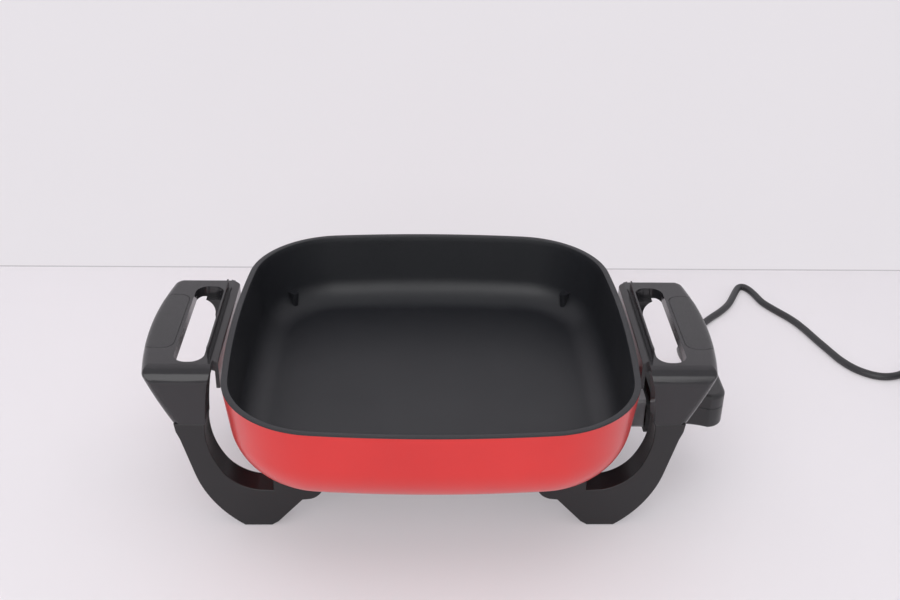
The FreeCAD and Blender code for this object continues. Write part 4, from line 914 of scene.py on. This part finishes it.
# %% Route of the free cord
CORD_D = 7.0
ROUTE = [
    (214.0, 55.0, 68.0),
    (214.0, 82.0, 68.0),
    (224.0, 113.0, 42.0),
    (238.0, 148.0, 12.0),
    (250.0, 179.0, 3.5),
    (258.0, 203.0, 3.5),
    (269.0, 225.0, 3.5),
    (283.0, 241.0, 3.5),
    (296.0, 253.5, 3.5),
    (308.0, 268.5, 3.5),
    (317.0, 286.5, 3.5),
    (322.5, 298.0, 3.5),
    (327.5, 306.6, 3.5),
    (333.5, 306.6, 3.5),
    (338.0, 298.0, 3.5),
    (341.0, 286.5, 3.5),
    (343.5, 273.5, 3.5),
    (353.5, 256.5, 3.5),
    (365.5, 238.0, 3.5),
    (373.0, 217.5, 3.5),
    (378.0, 199.0, 3.5),
    (384.0, 180.5, 3.5),
    (389.5, 162.5, 3.5),
    (400.0, 144.5, 3.5),
    (418.0, 133.0, 3.5),
    (438.0, 136.5, 3.5),
    (452.0, 149.0, 3.6),
    (466.0, 155.0, 4.3),
]
print("the free cord has", len(ROUTE), "points")

# %% Turns of the coil
COIL_AT, COIL_R, COIL_STEP = (487.0, 109.0), 42.0, 8.0
COIL_LIFT, COIL_CLIMB, COIL_END, COIL_TAIL = 0.8, 7.5, 860.0, 22.0
COIL_INNERMOST = 450.0    # degrees wound where the turns start to widen again
CLIMB_FROM, CLIMB_OVER = 360.0, 180.0
KNOT_STEP = 43.0    # degrees between control points


def coil_point(turned, outside_by):
    """A point of the coil after so many degrees, its radius stretched by a factor."""
    r = COIL_R + COIL_STEP / 2 - COIL_STEP * (COIL_INNERMOST - abs(COIL_INNERMOST - turned)) / 360.0
    share = min(max((turned - CLIMB_FROM) / CLIMB_OVER, 0.0), 1.0)
    z = CORD_D / 2 + COIL_LIFT + COIL_CLIMB * (3 * share ** 2 - 2 * share ** 3)
    angle = math.radians(90.0 - turned)
    x, y = outside_by * r * math.cos(angle), outside_by * r * math.sin(angle)
    return COIL_AT[0] + x, COIL_AT[1] + y, z


def coil_points():
    """Control points of the turns: a little outside them, because the curve cuts corners."""
    count = round(COIL_END / KNOT_STEP)
    stretch = 1 / (0.75 + 0.25 * math.cos(math.radians(KNOT_STEP)))
    points = [coil_point(0, 1.0)]
    points += [coil_point(COIL_END * (i + 0.5) / count, stretch) for i in range(count)]
    end = Vector(coil_point(COIL_END, 1.0))
    before = Vector(coil_point(COIL_END - 1, 1.0))
    way = (end - before).normalized()
    way.z = 0
    return points + [tuple(end), tuple(end + way * COIL_TAIL)]


print("the coil has", len(coil_points()), "points")

# %% The cord
curve = bpy.data.curves.new("cord", "CURVE")
curve.dimensions = "3D"
curve.bevel_depth = CORD_D / 2000
curve.bevel_resolution = 6
curve.resolution_u = 8
curve.use_fill_caps = True
spline = curve.splines.new("NURBS")
cord_points = ROUTE + coil_points()
spline.points.add(len(cord_points) - 1)
for knot, point in zip(spline.points, cord_points):
    knot.co = (*at(*point), 1)
spline.order_u = 3
spline.use_endpoint_u = True
curve.materials.append(CORD)
cord = link(bpy.data.objects.new("cord", curve))
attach(cord, "control")
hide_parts("power_cord", "cord_coil")
print("cord on", len(cord_points), "points")

# %% [markdown]
# ## Table and backdrop
#
# A pale table meets a pale wall behind the skillet, with a thin grey line of painted shade where they
# meet.
# The camera should see nearly white, but white surfaces throw light back onto the object and
# wash it out. So each surface shows a share of its own tone to the camera and in mirror
# reflections only, and keeps its shadows. Seen from its back it is clear, so that the
# skillet can be looked at from any side.


# %% Pale surfaces
def stage_material(name, colour, own):
    """A pale surface with a share of its own tone, clear when seen from its back."""
    g = Graph(name)
    path = g.tree.nodes.new("ShaderNodeLightPath").outputs
    seen = g.combine(path["Is Camera Ray"], path["Is Glossy Ray"], "MAXIMUM")
    seen = g.combine(seen, path["Is Transmission Ray"], "MAXIMUM")
    tone = g.mix(g.between(g.noise(3, 3), 0, 1), scaled(colour, 0.985), colour)
    lit = g.mix(seen, tone, g.mix(own, tone, (0, 0, 0)))
    clear = g.node("ShaderNodeBsdfTransparent")
    back = g.tree.nodes.new("ShaderNodeNewGeometry").outputs["Backfacing"]
    surface = g.node("ShaderNodeMixShader", {0: back, 1: g.shader.outputs["BSDF"], 2: clear})
    g.put(g.tree.nodes["Material Output"].inputs["Surface"], surface)
    glow = g.combine(seen, own, "MULTIPLY")
    return g.finish(base=lit, rough=0.6, specular=0.15, glow_colour=tone, glow=glow)


def stage_plane(name, corners, material):
    """A flat surface that isn't part of the object."""
    mesh = bpy.data.meshes.new(name)
    mesh.from_pydata(corners, [], [(0, 1, 2, 3)])
    mesh.materials.append(material)
    item = link(bpy.data.objects.new(name, mesh))


# %% Table, wall and the painted shade line between them
STAGE = 3.0    # metres to each side, and up
WALL_Y = 0.352
SHADE_LINE_GAP, SHADE_LINE_HEIGHT = 0.0005, 0.0012


def upright(y, height):
    """Corners of a wall across the whole stage, facing the camera."""
    return [(-STAGE, y, 0), (STAGE, y, 0), (STAGE, y, height), (-STAGE, y, height)]


stage_plane("table", [(-STAGE, -STAGE, 0), (STAGE, -STAGE, 0), (STAGE, STAGE, 0), (-STAGE, STAGE, 0)],
            stage_material("table_white", (0.80, 0.77, 0.80), 0.35))
stage_plane("backdrop", upright(WALL_Y, STAGE), stage_material("wall_white", (0.795, 0.765, 0.80), 0.85))
# A thin grey strip at the wall's foot is painted shade, standing for the shade where the table meets the
# wall.
stage_plane("painted_shade_line", upright(WALL_Y - SHADE_LINE_GAP, SHADE_LINE_HEIGHT),
            stage_material("painted_shade_grey", (0.52, 0.50, 0.525), 0.9))
print("wall", WALL_Y, "m behind the middle of the skillet")

# %% [markdown]
# ## Light
#
# One broad lamp hangs over the skillet, and a wider, stronger one lights it from the camera's
# side, so that shadows stay soft and thin. The world adds an even, pale light. The hanging
# lamp is left out of mirror reflections, because it would draw a bright band along the grips'
# front rounds.


# %% Lamps
def area_light(name, place, target, size, watts):
    data = bpy.data.lights.new(name, "AREA")
    data.shape = "RECTANGLE"
    data.size, data.size_y = size
    data.energy = watts
    lamp = link(bpy.data.objects.new(name, data))
    lamp.location = place
    lamp.rotation_euler = (Vector(target) - Vector(place)).to_track_quat("-Z", "Y").to_euler()
    print(name, watts, "W")
    return lamp


overhead = area_light("overhead", (0.0, -0.3, 1.7), (0, 0, 0), (2.0, 1.4), 11)
overhead.visible_glossy = False
area_light("front_fill", (-0.4, -1.8, 1.2), (0, 0, 0.1), (2.4, 1.6), 22)

# %% World
WORLD_LIGHT, WORLD_SEEN = 0.55, 0.80    # strength on the object, and as a background

world = bpy.data.worlds.new("studio")
world.use_nodes = True
sky = world.node_tree
background = sky.nodes["Background"].inputs
background["Color"].default_value = (0.98, 0.98, 1.0, 1)
camera_ray = sky.nodes.new("ShaderNodeLightPath").outputs["Is Camera Ray"]
strength = sky.nodes.new("ShaderNodeMapRange")
strength.inputs["To Min"].default_value = WORLD_LIGHT
strength.inputs["To Max"].default_value = WORLD_SEEN
sky.links.new(camera_ray, strength.inputs["Value"])
sky.links.new(strength.outputs["Result"], background["Strength"])
bpy.context.scene.world = world
print("world strength", WORLD_LIGHT)

# %% [markdown]
# ## Picture
#
# The Standard view keeps colours as they are written.

# %% Picture and finish
scene = bpy.context.scene
scene.view_settings.view_transform = "Standard"
scene.render.resolution_x = 900
scene.render.resolution_y = 600

note_size()
